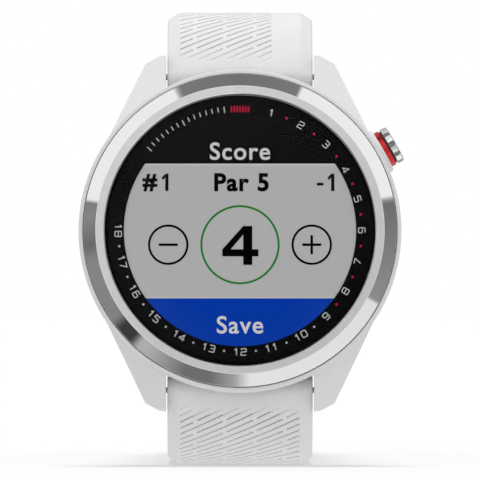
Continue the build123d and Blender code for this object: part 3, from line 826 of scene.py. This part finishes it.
def make_screen_marks():
    """Words, numbers and round buttons on the screen."""
    row_z = 6.55
    figure = 2.35
    make_word("screen_title", "Score", 0, 10.8, 3.3, 0.05, SCREEN_WHITE)
    make_word("screen_hole", "#", -12.25, row_z - 0.05, 3.1, 0.11, SCREEN_INK)
    make_figure("screen_hole_figure", "1", -10.1, row_z, 1.45, figure)
    make_word("screen_par", "Par 5", 0.2, row_z, 3.3, 0.11, SCREEN_INK)
    make_bar("screen_change_bar", 10.9, row_z - 0.25, 0.45, 0.19, SCREEN_INK)
    make_figure("screen_change_figure", "1", 12.45, row_z, 1.45, figure)
    make_figure("screen_count", "4", 0.05, -2.05, 4.9, 5.3)
    make_word("screen_save", "Save", 0, -12.85, 3.3, 0.05, SCREEN_WHITE)
    mark_z = -1.95
    mark_x = 9.75
    make_ring("screen_count_ring", 0, mark_z, 5.25, 0.27, SCREEN_GREEN)
    for side, name in ((-1, "minus"), (1, "plus")):
        x = side * mark_x
        make_ring(f"screen_{name}_ring", x, mark_z, 2.6, 0.3, SCREEN_INK)
        make_bar(f"screen_{name}_bar", x, mark_z, 1.3, 0.17, SCREEN_INK)
    make_bar("screen_plus_upright", mark_x, mark_z, 0.17, 1.3, SCREEN_INK)


# ---- case ----
def make_lug():
    """The upper right lug: a prism cut by a slope and a facet, with soft edges."""
    outline = [
        (LUG_GAP / 2, 15.9),
        (LUG_GAP / 2, LUG_TIP_Z),
        (11.0, LUG_TIP_Z - 0.1),
        (12.9, LUG_TIP_Z - 1.1),
        (18.6, 11.2),
        (15.4, 10.8),
    ]
    root_a = Vector((LUG_GAP / 2, LUG_ROOT_Y, 19.4))
    root_b = Vector((18.4, LUG_ROOT_Y, 11.9))
    tip = Vector((11.5, -4.9, LUG_TIP_Z - 0.2))
    slope = (root_b - root_a).cross(tip - root_a).normalized()
    if slope.y > 0:
        slope = -slope

    def on_slope(x, z):
        return Vector((x, root_a.y - (slope.x * (x - root_a.x) + slope.z * (z - root_a.z)) / slope.y, z))

    crease_top = on_slope(10.5, 23.4)
    crease_root = on_slope(13.6, 17.0)
    inner_root = on_slope(LUG_GAP / 2, 17.4) + Vector((0, 0.75, 0))
    facet = (crease_root - crease_top).cross(inner_root - crease_top).normalized()
    if facet.y > 0:
        facet = -facet
    bm = prism(outline, WATCH_AXIS, -CASE_BACK_Y, 9.1)
    for point, normal in ((root_a, slope), (crease_top, facet)):
        bmesh.ops.bisect_plane(
            bm,
            geom=bm.verts[:] + bm.edges[:] + bm.faces[:],
            dist=1e-7,
            plane_co=point * MM,
            plane_no=normal,
            clear_outer=True,
        )
        open_edges = [e for e in bm.edges if e.is_boundary]
        bmesh.ops.holes_fill(bm, edges=open_edges)
    face_out(bm)
    soften(bm, bm.edges, 0.2)
    face_out(bm)
    return bm


def make_lugs():
    """All four lugs as one object."""
    one = make_lug()
    mesh = bpy.data.meshes.new("lug")
    one.to_mesh(mesh)
    one.free()
    bm = bmesh.new()
    for flip_x in (1, -1):
        for flip_z in (1, -1):
            copy = mesh.copy()
            copy.transform(Matrix.Diagonal((flip_x, 1, flip_z, 1)))
            if flip_x * flip_z < 0:
                copy.flip_normals()
            bm.from_mesh(copy)
    return add_object("lugs", bm, [WHITE_CASE])


def make_case():
    """The white case with its lugs, the strap's wells, the button's boss and its well."""
    lip = 0.12
    points = [
        (CAVITY_R, SEAT_Y),
        (BEZEL_R + 0.1, SEAT_Y),
        (BEZEL_R + 0.1, CASE_RIM_Y + 0.05),
        (BEZEL_R + 0.16, CASE_RIM_Y),
        (CASE_R - lip * 1.6, CASE_RIM_Y),
        (CASE_R - lip * 0.4, CASE_RIM_Y + lip * 0.6),
        (CASE_R, CASE_RIM_Y + lip * 1.8),
        (CASE_R, -6.5),
        (CASE_BACK_R + 0.3, CASE_BACK_Y - 0.5),
        (CASE_BACK_R + 0.15, CASE_BACK_Y - 0.15),
        (CASE_BACK_R - 0.1, CASE_BACK_Y),
        (OPENING_R, CASE_BACK_Y),
        (OPENING_R, FLOOR_Y),
        (CAVITY_R, FLOOR_Y),
    ]
    case = add_object("case_shell", turned_front(points, 256), [WHITE_CASE])
    half_gap = LUG_GAP / 2
    for name, low, high in (("well_upper", STRAP_WELL_Z, 30), ("well_lower", -30, -STRAP_WELL_Z)):
        outline = [(-half_gap, low), (half_gap, low), (half_gap, high), (-half_gap, high)]
        cut(case, name, prism(outline, WATCH_AXIS, -0.5, -STRAP_WELL_Y))
    combine(case, make_lugs(), "UNION")
    recess_r = BEZEL_R + 0.1
    recess = [(0, -SEAT_Y), (recess_r, -SEAT_Y), (recess_r, 13), (0, 13)]
    cut(case, "recess", turned_mesh(recess, WATCH_AXIS, 256))
    soft = 0.3
    boss = [(0, CAVITY_R + 0.4), (BOSS_R, CAVITY_R + 0.4), (BOSS_R, BOSS_FACE - soft)]
    for i in range(1, 5):
        turn = radians(90 * i / 4)
        boss.append((BOSS_R - soft * (1 - cos(turn)), BOSS_FACE - soft + soft * sin(turn)))
    boss.append((0, BOSS_FACE))
    combine(case, add_object("boss", turned_mesh(boss, BUTTON_AXIS, 96), [WHITE_CASE]), "UNION")
    hollow = [(0, WELL_FLOOR), (WELL_R, WELL_FLOOR), (WELL_R, BOSS_FACE + 1), (0, BOSS_FACE + 1)]
    cut(case, "boss_well", turned_mesh(hollow, BUTTON_AXIS, 96))
    near = CAVITY_R - 1
    far = WELL_FLOOR + 0.5
    bore = [(0, near), (STEM_BORE_R, near), (STEM_BORE_R, far), (0, far)]
    cut(case, "stem_bore", turned_mesh(bore, BUTTON_AXIS, 48))
    smooth(case, 28, weighted=True)
    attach(case, "case")
    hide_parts("upper_case")


# ---- button ----
def make_cap():
    """The button's steel cap, with notches round its rim; the notches' insides are painted dark as shade, and so
    is the steel seen in the gap to the collar.
    """
    def notched(radius, angle):
        """Round scoops in the cap's rim; the rest of the piece stays round."""
        if radius < CAP_R - 0.25:
            return radius
        off = abs((angle * NOTCHES / (2 * pi)) % 1 - 0.5) / NOTCH_SHARE
        return radius - NOTCH_DEPTH * sqrt(max(0.0, 1 - off * off))

    cap = [
        (SPIGOT_R, COLLAR_IN + 0.4),
        (SPIGOT_R, COLLAR_OUT),
        (CAP_R - 0.3, COLLAR_OUT),
        (CAP_R - 0.3, CAP_IN),
        (CAP_R - 0.12, CAP_IN),
        (CAP_R - 0.03, CAP_IN + 0.05),
        (CAP_R, CAP_IN + 0.12),
        (CAP_R, CAP_OUT - CAP_EDGE),
        (CAP_R - 0.06, CAP_OUT - 0.14),
        (CAP_R - 0.14, CAP_OUT - 0.06),
        (CAP_R - CAP_EDGE, CAP_OUT),
        (CAP_R - 0.7, CAP_OUT),
        (CAP_R - 0.8, CAP_OUT - 0.08),
        (0, CAP_OUT - 0.08),
        (0, COLLAR_IN + 0.4),
    ]
    # the spigot and the neck behind the cap, seen in the gap to the collar, take black rubber: painted shade for
    # the dark gap, on a part that is steel
    looks = [1, 1, 1] + [0] * (len(cap) - 3)
    crown = turned_mesh(cap, BUTTON_AXIS, 400, looks, radius_at=notched)
    # faces down in the notches take the darkened steel: painted shade in the scoops
    for face in crown.faces:
        spot = BUTTON_AXIS.inverted() @ (face.calc_center_median() / MM)
        depth = CAP_R - sqrt(spot.x ** 2 + spot.y ** 2)
        least = 0.08 if spot.z < CAP_OUT - CAP_EDGE else CAP_EDGE
        if CAP_IN + 0.05 < spot.z < CAP_OUT - 0.05 and least < depth < NOTCH_DEPTH + least:
            face.material_index = 2
    piece = add_object("button_crown", crown, [CAP_METAL, BLACK_RUBBER_AND_GAP_SHADE, NOTCH_SHADED_STEEL])
    smooth(piece, 25)
    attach(piece, "button")
    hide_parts("button_cap")


def make_collar():
    """The red collar behind the cap."""
    edge = 0.1
    collar = [
        (SPIGOT_R, COLLAR_IN),
        (COLLAR_R - edge, COLLAR_IN),
        (COLLAR_R, COLLAR_IN + edge),
        (COLLAR_R, COLLAR_OUT - edge),
        (COLLAR_R - edge * 0.3, COLLAR_OUT - edge * 0.3),
        (COLLAR_R - edge, COLLAR_OUT),
        (SPIGOT_R, COLLAR_OUT),
    ]
    piece = add_object("button_band", turned_mesh(collar, BUTTON_AXIS, 96), [RED_METAL])
    smooth(piece, 25)
    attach(piece, "button")
    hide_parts("button_collar")


# ---- strap ----
# runs of the middle line: length, turn in degrees, half thickness at start and end, bevel at start and end
SHARED_RUNS = [
    (BEND_START, 0, BARREL_R, BARREL_R, START_BEVEL_T, BEND_BEVEL_T),
    (BEND_R * radians(BEND_A), BEND_A, BARREL_R, BEND_HALF_T, BEND_BEVEL_T, BEVEL_T),
]
UPPER_RUNS = SHARED_RUNS + [
    (BEND_R * radians(UPPER_BEND_B), UPPER_BEND_B, BEND_HALF_T, THICK_HALF, BEVEL_T, BEVEL_T),
    (UPPER_ARC_R * radians(UPPER_ARC), UPPER_ARC, THICK_HALF, THIN_HALF, BEVEL_T, END_BEVEL_T),
    (UPPER_END_RUN, 0, THIN_HALF, THIN_HALF, END_BEVEL_T, END_BEVEL_T),
]
LOWER_RUNS = SHARED_RUNS + [
    (BEND_R * radians(LOWER_BEND_B), LOWER_BEND_B, BEND_HALF_T, THICK_HALF, BEVEL_T, BEVEL_T),
    (FOOT_RUN, 0, THICK_HALF, THICK_HALF, BEVEL_T, BEVEL_T),
    (LOWER_ARC_R * radians(LOWER_ARC), LOWER_ARC, THICK_HALF, THIN_HALF, BEVEL_T, END_BEVEL_T),
    (TAIL_RUN, 0, THIN_HALF, THIN_HALF, END_BEVEL_T, END_BEVEL_T),
]
FOOT_START = sum(run[0] for run in LOWER_RUNS[:3])


def run_length(runs):
    """The middle line's length from the spring bar."""
    return sum(run[0] for run in runs)


def walk(y, height, lean, length, turn):
    """Where a run of this length and turn ends, as (y, height, lean from upright)."""
    a = radians(lean)
    if abs(turn) < 1e-9:
        return y + length * sin(a), height + length * cos(a), lean
    b = radians(lean + turn)
    radius = length / (b - a)
    return y + radius * (cos(a) - cos(b)), height + radius * (sin(b) - sin(a)), lean + turn


def station(runs, s):
    """The middle line at distance s from the bar: y, height, lean, half thickness and bevel depth."""
    y, height, lean = BAR_Y, BAR_Z, LEAVING_LEAN
    if s < 0:
        y, height, lean = walk(y, height, lean, s, 0)
        half = sqrt(max(0.0004, BARREL_R ** 2 - s ** 2))
        return y, height, lean, half, START_BEVEL_T * (1 + s / BARREL_R)
    for length, turn, thick_0, thick_1, bevel_0, bevel_1 in runs:
        if s <= length:
            share = s / length
            y, height, lean = walk(y, height, lean, s, turn * share)
            thick = thick_0 + (thick_1 - thick_0) * share
            return y, height, lean, thick, bevel_0 + (bevel_1 - bevel_0) * share
        y, height, lean = walk(y, height, lean, length, turn)
        s -= length
    y, height, lean = walk(y, height, lean, s, 0)
    return y, height, lean, thick_1, bevel_1


BREAKS = (-6.15, -2.08, 2.02, 6.1)
BREAK_HALF = 0.26
BREAK_STEP = 0.06


def columns(field):
    """Places across the outer face: (x, share of depth on unbroken lines, share on broken ones)."""
    left, right = field
    spots = {-BEVEL_FROM: (0, 0), BEVEL_FROM: (0, 0), -9.1: (0, 0), 9.1: (0, 0)}
    spots[left] = (0, 0)
    spots[left + 0.08] = (1, 1)
    spots[right - 0.08] = (1, 1)
    spots[right] = (0, 0)
    for x in (-7.2, -4.1, 0.0, 4.1, 5.4, 7.2):
        spots.setdefault(x, (1, 1) if left < x < right - 0.08 else (0, 0))
    for middle in BREAKS:
        if left < middle < right:
            spots[middle - BREAK_HALF - BREAK_STEP] = (1, 1)
            spots[middle - BREAK_HALF] = (1, 0)
            spots[middle + BREAK_HALF] = (1, 0)
            spots[middle + BREAK_HALF + BREAK_STEP] = (1, 1)
    return [(x, *spots[x]) for x in sorted(spots)]


def strap_ring(field):
    """A closed row of points round the strap: (x, outer side or not, drop, depth shares)."""
    ring = [(-HALF_W, True, EDGE_ROUND, 0, 0), (-HALF_W + EDGE_ROUND, True, 0, 0, 0)]
    ring += [(x, True, 0, plain, broken) for x, plain, broken in columns(field)]
    ring += [(HALF_W - EDGE_ROUND, True, 0, 0, 0), (HALF_W, True, EDGE_ROUND, 0, 0)]
    ring += [(HALF_W, False, EDGE_ROUND, 0, 0), (HALF_W - EDGE_ROUND, False, 0, 0, 0)]
    ring += [(x, False, 0, 0, 0) for x in (6.6, 3.3, 0.0, -3.3, -6.6)]
    ring += [(-HALF_W + EDGE_ROUND, False, 0, 0, 0), (-HALF_W, False, EDGE_ROUND, 0, 0)]
    return ring


def fade(s, start, end):
    """0 before start, 1 after end, smooth between."""
    share = min(1.0, max(0.0, (s - start) / (end - start)))
    return share * share * (3 - 2 * share)


def end_shape(s, length, half, tip):
    """Half thickness and share of the width near the far end: a barrel at the buckle, a rounded tail."""
    squeeze = 1.0
    if tip == "buckle" and s > length - BUCKLE_BARREL_R:
        barrel = sqrt(max(0.0004, BUCKLE_BARREL_R ** 2 - (s - length) ** 2))
        half = max(half if s < length else 0.02, barrel)
    if tip == "tail" and s > length - TIP_ROUND:
        squeeze = sqrt(max(0.0009, 1 - ((s - length + TIP_ROUND) / TIP_ROUND) ** 2))
    return half, squeeze


def outer_height(s, x, drop, depth, half, bevel, length, hole_zone):
    """The outer face above the middle line; moulded lines fade at both ends and between the holes."""
    depth *= fade(s, *LINE_FADE) * (1 - fade(s, length - LINE_STOP[0], length - LINE_STOP[1]))
    if abs(x) < HOLE_STRIP:
        depth *= 1 - fade(s, hole_zone - 0.5, hole_zone)
    offset = half - drop - depth - bevel * max(0, abs(x) - BEVEL_FROM) / (HALF_W - BEVEL_FROM)
    return max(offset, -half + 0.3 if half > 0.3 else 0)


def strap_rows(runs, side, field, tip):
    """Rows of (x, y, z) across a half that lean with the moulded lines, and what each row paints."""
    length = run_length(runs)
    first = -BARREL_R
    last = length + (BUCKLE_BARREL_R if tip == "buckle" else 0)
    reach = LINE_LEAN * HALF_W
    hole_zone = length - FIRST_HOLE - HOLE_PITCH * (HOLE_COUNT - 1) - 3 if tip == "tail" else length * 2
    wall = LINE_HALF + LINE_WALL
    shifts = ((-wall, 0), (-LINE_HALF, 1), (LINE_HALF, 1), (wall, 0), (LINE_PITCH / 2, 0))
    ring = strap_ring(field)
    rows = []
    looks = []
    for line in range(int((first - reach) / LINE_PITCH) - 2, ceil((last + reach) / LINE_PITCH) + 2):
        for shift, deep in shifts:
            row = []
            spots = []
            t = line * LINE_PITCH + shift
            flip = min(1.0, max(0.0, (t - FLIP_START) / FLIP_LENGTH))
            lean_x = side * LINE_LEAN * (1 - 2 * flip)
            for x, outer, drop, plain, broken in ring:
                s = min(last, max(first, t + lean_x * x))
                spots.append(s)
                y, height, lean, half, bevel = station(runs, s)
                half, squeeze = end_shape(s, length, half, tip)
                if outer:
                    depth = LINE_DEPTH * deep * (broken if line % 2 else plain)
                    offset = outer_height(s, x, drop, depth, half, bevel, length, hole_zone)
                else:
                    offset = -half + min(drop, half)
                a = radians(lean)
                row.append((x * squeeze, y - offset * cos(a), side * (height + offset * sin(a))))
            rows.append(row)
            looks.append((deep, 4 if line % 2 else 3, spots))
    return rows, looks


def strap_mesh(runs, side, field, tip):
    """A strap half; the floors of its grooves get the second material, a darker grey painted on as shade. tip is
    'buckle' or 'tail'.
    """
    paint_end = run_length(runs) - PAINT_STOP
    ring = strap_ring(field)
    rows, looks = strap_rows(runs, side, field, tip)
    bm = bmesh.new()
    grid = [[bm.verts.new(Vector(spot) * MM) for spot in row] for row in rows]
    count = len(ring)
    for i in range(len(grid) - 1):
        for c in range(count):
            d = (c + 1) % count
            face = bm.faces.new((grid[i][c], grid[i][d], grid[i + 1][d], grid[i + 1][c]))
            deep, share, spots = looks[i]
            # faces on a groove's floor take the darker grey: painted shade for the groove's shadow
            in_groove = deep and looks[i + 1][0] and min(ring[c][share], ring[d][share]) > 0
            if in_groove and LINE_FADE[1] < spots[c] < paint_end:
                face.material_index = 1
    bm.faces.new(grid[0])
    bm.faces.new(grid[-1])
    bmesh.ops.remove_doubles(bm, verts=bm.verts, dist=0.002 * MM)
    bmesh.ops.dissolve_degenerate(bm, edges=bm.edges, dist=0.002 * MM)
    face_out(bm)
    return bm


def bar_along_x(radius, half_length, y, z, segments=48):
    """A round cutter across the strap."""
    axis = Matrix.Translation((0, y, z)) @ ACROSS_AXIS
    profile = [(0, -half_length), (radius, -half_length), (radius, half_length), (0, half_length)]
    return turned_mesh(profile, axis, segments)


def box_mesh(x, y, z):
    """A box from its lowest and highest x, y and z."""
    outline = [(x[0], z[0]), (x[1], z[0]), (x[1], z[1]), (x[0], z[1])]
    return prism(outline, WATCH_AXIS, -y[1], -y[0])


def across_strap(y, height, lean, side):
    """A frame on the strap: X across, Y along the strap, Z towards its outer face."""
    a = radians(lean)
    along = Vector((0, sin(a), side * cos(a)))
    out = Vector((0, -cos(a), side * sin(a)))
    return Matrix.Translation((0, y, side * height)) @ Matrix(
        ((1, 0, 0, 0), (0, along.y, out.y, 0), (0, along.z, out.z, 0), (0, 0, 0, 1))
    )


def make_strap(name, runs, side, field, tip):
    """One strap half with its bar hole and lever opening, and its tongue slot or its row of holes."""
    mesh = strap_mesh(runs, side, field, tip)
    strap = add_object(name, mesh, [WHITE_STRAP, GROOVE_PAINTED_SHADE])
    z = side * BAR_Z
    cut(strap, "bar_cutter", bar_along_x(BAR_CUT_R, HALF_W + 1, BAR_Y, z))
    opening = box_mesh(LEVER_X, (BAR_Y, BAR_Y + 3), (z - LEVER_HALF, z + LEVER_HALF))
    cut(strap, "lever_cutter", opening)
    length = run_length(runs)
    if tip == "buckle":
        cut(strap, "pin_cutter", bar_along_x(PIN_BORE_R, HALF_W + 1, PIN.y, PIN.z))
        place = across_strap(*station(runs, length)[:3], side)
        low, high = SLOT_SPAN
        outline = [(-SLOT_HALF, low), (SLOT_HALF, low), (SLOT_HALF, high), (-SLOT_HALF, high)]
        cut(strap, "tongue_cutter", prism(outline, place, -3, 3))
    else:
        punches = bmesh.new()
        for hole in range(HOLE_COUNT):
            place = across_strap(*station(runs, length - FIRST_HOLE - hole * HOLE_PITCH)[:3], side)
            punch = turned_mesh([(0, -4), (HOLE_R, -4), (HOLE_R, 4), (0, 4)], place, 40)
            pour(punch, punches, "punch")
        cut(strap, "punches", punches)
    smooth(strap, 24)
    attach(strap, name.replace("_band", "_strap"))
    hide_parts(name.replace("_band", "_strap"))


# ---- buckle ----
buckle_place = across_strap(*station(UPPER_RUNS, run_length(UPPER_RUNS))[:3], 1)


def make_buckle():
    """The buckle's frame: two round-ended arms and a crossbar with a seat for the tongue."""
    far = WINDOW + CROSSBAR
    corner = 2.2
    outline = [(-BUCKLE_INNER, ARM_END + 0.4), (-BUCKLE_INNER - 0.4, ARM_END), (-BUCKLE_OUTER + 0.4, ARM_END)]
    outline += [(-BUCKLE_OUTER, ARM_END + 0.4)]
    outline += arc((-BUCKLE_OUTER + corner, far - corner), corner, 180, 90, 8)
    outline += arc((BUCKLE_OUTER - corner, far - corner), corner, 90, 0, 8)
    outline += [(BUCKLE_OUTER, ARM_END + 0.4), (BUCKLE_OUTER - 0.4, ARM_END), (BUCKLE_INNER + 0.4, ARM_END)]
    outline += [(BUCKLE_INNER, ARM_END + 0.4)]
    outline += arc((BUCKLE_INNER - 0.6, WINDOW - 0.6), 0.6, 0, 90, 4)
    outline += arc((-BUCKLE_INNER + 0.6, WINDOW - 0.6), 0.6, 90, 180, 4)
    body = prism(outline, buckle_place, -ARM_HALF_T, ARM_HALF_T)
    rims = [e for e in body.edges if len(e.link_faces) == 2 and e.calc_face_angle() > radians(60)]
    flat = [e for e in rims if any(len(f.verts) > 8 for f in e.link_faces)]
    soften(body, flat, 0.3, 4)
    buckle = add_object("buckle_bow", body, [BUCKLE_METAL])
    seat = [(-1.4, WINDOW - 1), (1.4, WINDOW - 1), (1.4, far + 1), (-1.4, far + 1)]
    cut(buckle, "seat_cutter", prism(seat, buckle_place, 0.55, 3))
    smooth(buckle, 30, weighted=True)
    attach(buckle, "buckle")
    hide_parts("buckle_frame")


def make_tongue():
    """The tongue: a hub round the bar and a flat finger that ends on the crossbar."""
    hub = 1.45
    low = 0.65
    far = WINDOW + CROSSBAR - 0.2
    start = degrees(asin(low / hub))
    side_view = arc((0, 0), hub, 90, 360 + start, 32)
    side_view += [(far - 0.3, low), (far, low + 0.3), (far, hub - 0.35), (far - 0.35, hub)]
    body = prism(side_view, buckle_place @ ACROSS_AXIS, -TONGUE_HALF, TONGUE_HALF)
    flat = [e for e in body.edges if any(len(f.verts) > 8 for f in e.link_faces)]
    soften(body, flat, 0.16)
    tongue = add_object("buckle_finger", body, [BUCKLE_METAL])
    cut(tongue, "bore_cutter", bar_along_x(PIN_BORE_R, 2, PIN.y, PIN.z))
    smooth(tongue, 30, weighted=True)
    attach(tongue, "tongue")
    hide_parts("buckle_tongue")


def make_keeper():
    """The sliding loop: a rounded band round the strap."""
    half_x = HALF_W + KEEPER_SIDE_GAP
    low = -THIN_HALF - KEEPER_UNDER_GAP
    high = THIN_HALF + TAIL_T + KEEPER_OVER_GAP
    middle = (low + high) / 2
    inner_h = (high - low) / 2
    along_0 = -KEEPER_BACK - KEEPER_W / 2
    turn = buckle_place @ Matrix(((1, 0, 0, 0), (0, 0, 1, 0), (0, 1, 0, middle), (0, 0, 0, 1)))
    section = []
    soft = 0.45
    for corner, (w, t) in enumerate(((KEEPER_W - soft, KEEPER_WALL - soft), (soft, KEEPER_WALL - soft))):
        section += arc((w, t), soft, 90 * corner, 90 * corner + 90, 4)
    section += [(0, 0.12), (0.12, 0), (KEEPER_W - 0.12, 0), (KEEPER_W, 0.12)]
    bm = bmesh.new()
    rows = []
    steps = 8
    for along, out in section:
        rows.append(rounded_box_outline(half_x + out, inner_h + out, 0.5 + out, steps))
    rings = []
    for (along, out), outline in zip(section, rows):
        rings.append([bm.verts.new(turn @ Vector((x, y, along_0 + along)) * MM) for x, y in outline])
    for i in range(len(rings)):
        j = (i + 1) % len(rings)
        for c in range(len(rings[i])):
            d = (c + 1) % len(rings[i])
            bm.faces.new((rings[i][c], rings[i][d], rings[j][d], rings[j][c]))
    settle(bm)
    keeper = add_object("keeper_band", bm, [WHITE_STRAP])
    smooth(keeper, 35)
    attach(keeper, "keeper")
    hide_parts("keeper_loop")


# ---- stage ----
def make_floor():
    """A wide pale floor under the strap's flat foot; the watch leans back on it a little."""
    y, height, lean, half, _ = station(LOWER_RUNS, FOOT_START)
    a = radians(lean)
    touch = Vector((0, y - half * cos(a), -height - half * sin(a)))
    bm = bmesh.new()
    bmesh.ops.create_grid(bm, x_segments=8, y_segments=8, size=3.0)
    white = surface("floor_white", (0.94, 0.94, 0.94), 0.9, tint=0.0, grain=50, bump=0.0)
    floor = add_object("floor", bm, [white])
    floor.rotation_euler.x = radians(STAND_LEAN)
    floor.location = touch * MM
    floor.visible_glossy = False
    floor.visible_diffuse = False
    floor.visible_shadow = False


# brightness round the watch, by clock angle, as a polished slope at the rim mirrors it
SECTORS = (
    (0, 0.24), (21.5, 0.27), (22.2, 1.2), (74, 1.2), (74.7, 0.22), (114, 0.38), (114.7, 1.05), (176, 1.1),
    (182, 0.5), (192, 0.22), (203, 0.22), (220, 0.6), (224, 0.6), (227, 0.06), (234, 0.06), (238, 0.32),
    (262, 0.34), (268, 0.2), (279, 0.34), (284.5, 0.3), (285.2, 1.2), (337, 1.2), (337.7, 0.27), (360, 0.24),
)
LENS_GAP = (9.0, 14.0)
BAND_IN = (60.0, 66.0)
BAND_OUT = (84.0, 90.0)
FRONT_LEVEL = 1.1
BEHIND_LEVEL = 0.72
OVERHEAD = 0.15
BELOW = 0.7
KEY_X = -1.0
KEY_Z = 1.0
KEY_MOST = 0.4
KEY_END = (28.0, 40.0)


def rim_light(tree, clock_share):
    """The brightness round the watch, as a colour ramp over the clock."""
    sectors = tree.nodes.new("ShaderNodeValToRGB")
    ramp = sectors.color_ramp
    ramp.interpolation = "LINEAR"
    for i, (clock, level) in enumerate(SECTORS):
        stop = ramp.elements[i] if i < 2 else ramp.elements.new(clock / 360)
        stop.position = clock / 360
        stop.color = (level, level, level, 1)
    tree.links.new(clock_share, sectors.inputs["Fac"])
    return sectors.outputs["Color"]


def show_backdrop(tree, strength):
    """Everything but the camera sees the studio's light; the camera sees plain white."""
    make = tree.nodes.new
    link = tree.links.new
    lamp = make("ShaderNodeBackground")
    link(strength, lamp.inputs["Strength"])
    backdrop = make("ShaderNodeBackground")
    backdrop.inputs["Strength"].default_value = 1.0
    backdrop.inputs["Color"].default_value = (1, 1, 1, 1)
    path = make("ShaderNodeLightPath")
    pick = make("ShaderNodeMixShader")
    link(path.outputs["Is Camera Ray"], pick.inputs["Fac"])
    link(lamp.outputs["Background"], pick.inputs[1])
    link(backdrop.outputs["Background"], pick.inputs[2])
    out = make("ShaderNodeOutputWorld")
    link(pick.outputs["Shader"], out.inputs["Surface"])


def make_studio():
    """A white studio: a soft dome, with panels and gaps round the rim that polished metal mirrors."""
    world = bpy.data.worlds.new("studio")
    bpy.context.scene.world = world
    world.use_nodes = True
    tree = world.node_tree
    tree.nodes.clear()
    make = tree.nodes.new
    link = tree.links.new

    def maths(operation, a, b=None, c=None):
        node = make("ShaderNodeMath")
        node.operation = operation
        for slot, value in enumerate((a, b, c)):
            if isinstance(value, (int, float)):
                node.inputs[slot].default_value = value
            elif value is not None:
                link(value, node.inputs[slot])
        return node.outputs["Value"]

    place = make("ShaderNodeTexCoord")
    split = make("ShaderNodeSeparateXYZ")
    link(place.outputs["Generated"], split.inputs["Vector"])
    x, y, z = split.outputs["X"], split.outputs["Y"], split.outputs["Z"]
    turn = maths("ARCTAN2", x, z)
    share = maths("FRACT", maths("DIVIDE", turn, 2 * pi))
    sectors = rim_light(tree, share)
    from_front = maths("ARCCOSINE", maths("MULTIPLY", y, -1.0))

    def share_past(start, end):
        """0 nearer the front than one angle, 1 past the other."""
        step = make("ShaderNodeMapRange")
        step.interpolation_type = "SMOOTHSTEP"
        step.inputs["From Min"].default_value = radians(start)
        step.inputs["From Max"].default_value = radians(end)
        link(from_front, step.inputs["Value"])
        return step.outputs["Result"]

    def blend(share_b, level_a, level_b):
        mix = make("ShaderNodeMix")
        mix.data_type = "FLOAT"
        link(share_b, mix.inputs["Factor"])
        for socket, level in (("A", level_a), ("B", level_b)):
            if isinstance(level, (int, float)):
                mix.inputs[socket].default_value = level
            else:
                link(level, mix.inputs[socket])
        return mix.outputs["Result"]

    above = maths("MAXIMUM", z, 0.0)
    overhead = maths("MULTIPLY", maths("MULTIPLY", above, above), OVERHEAD)
    slant = maths("ADD", maths("MULTIPLY", x, KEY_X), maths("MULTIPLY", z, KEY_Z))
    key = blend(share_past(*KEY_END), maths("MINIMUM", maths("MAXIMUM", slant, -KEY_MOST), KEY_MOST), 0.0)
    front = maths("ADD", maths("ADD", FRONT_LEVEL, key), overhead)
    below = maths("MULTIPLY", maths("MAXIMUM", maths("MULTIPLY", z, -1.0), 0.0), BELOW)
    behind = maths("ADD", maths("ADD", BEHIND_LEVEL, overhead), below)
    near = blend(share_past(*LENS_GAP), 0.0, front)
    banded = blend(share_past(*BAND_IN), near, sectors)
    whole = blend(share_past(*BAND_OUT), banded, behind)
    show_backdrop(tree, whole)


SUN_STRENGTH = 1.25
SUN_ANGLE = 25.0


def make_lamp():
    """A soft lamp straight above, for the shadow on the floor; metal doesn't mirror it."""
    light = bpy.data.lights.new("lamp", "SUN")
    light.energy = SUN_STRENGTH
    light.angle = radians(SUN_ANGLE)
    lamp = link_object("lamp", light)
    lamp.location = (0, 0, 0.5)
    lamp.visible_glossy = False


VIEW_DISTANCE = 1600.0
VIEW_RISE = -STAND_LEAN
VIEW_LENS = 884.0
VIEW_TARGET = Vector((0.0, FRONT_Y, -1.42))


def make_camera():
    """A long lens a little below the dial's own line of sight."""
    lens = bpy.data.cameras.new("camera")
    lens.lens = VIEW_LENS
    lens.sensor_width = 36.0
    lens.clip_start = 0.01
    camera = link_object("camera", lens)
    rise = radians(VIEW_RISE)
    place = VIEW_TARGET + Vector((0, -cos(rise), sin(rise))) * VIEW_DISTANCE
    camera.location = place * MM
    camera.rotation_euler = (VIEW_TARGET - place).to_track_quat("-Z", "Y").to_euler()
    bpy.context.scene.camera = camera


make_camera()
make_studio()
make_floor()
make_lamp()
bpy.context.scene.view_settings.view_transform = "Standard"
dress_cad_nodes()
make_bezel()
make_glass()
make_border()
make_numbers()
make_dots()
make_ticks()
make_screen_fields()
make_screen_marks()
make_case()
make_cap()
make_collar()
make_strap("upper_band", UPPER_RUNS, 1, UPPER_FIELD, "buckle")
make_strap("lower_band", LOWER_RUNS, -1, LOWER_FIELD, "tail")
make_buckle()
make_tongue()
make_keeper()
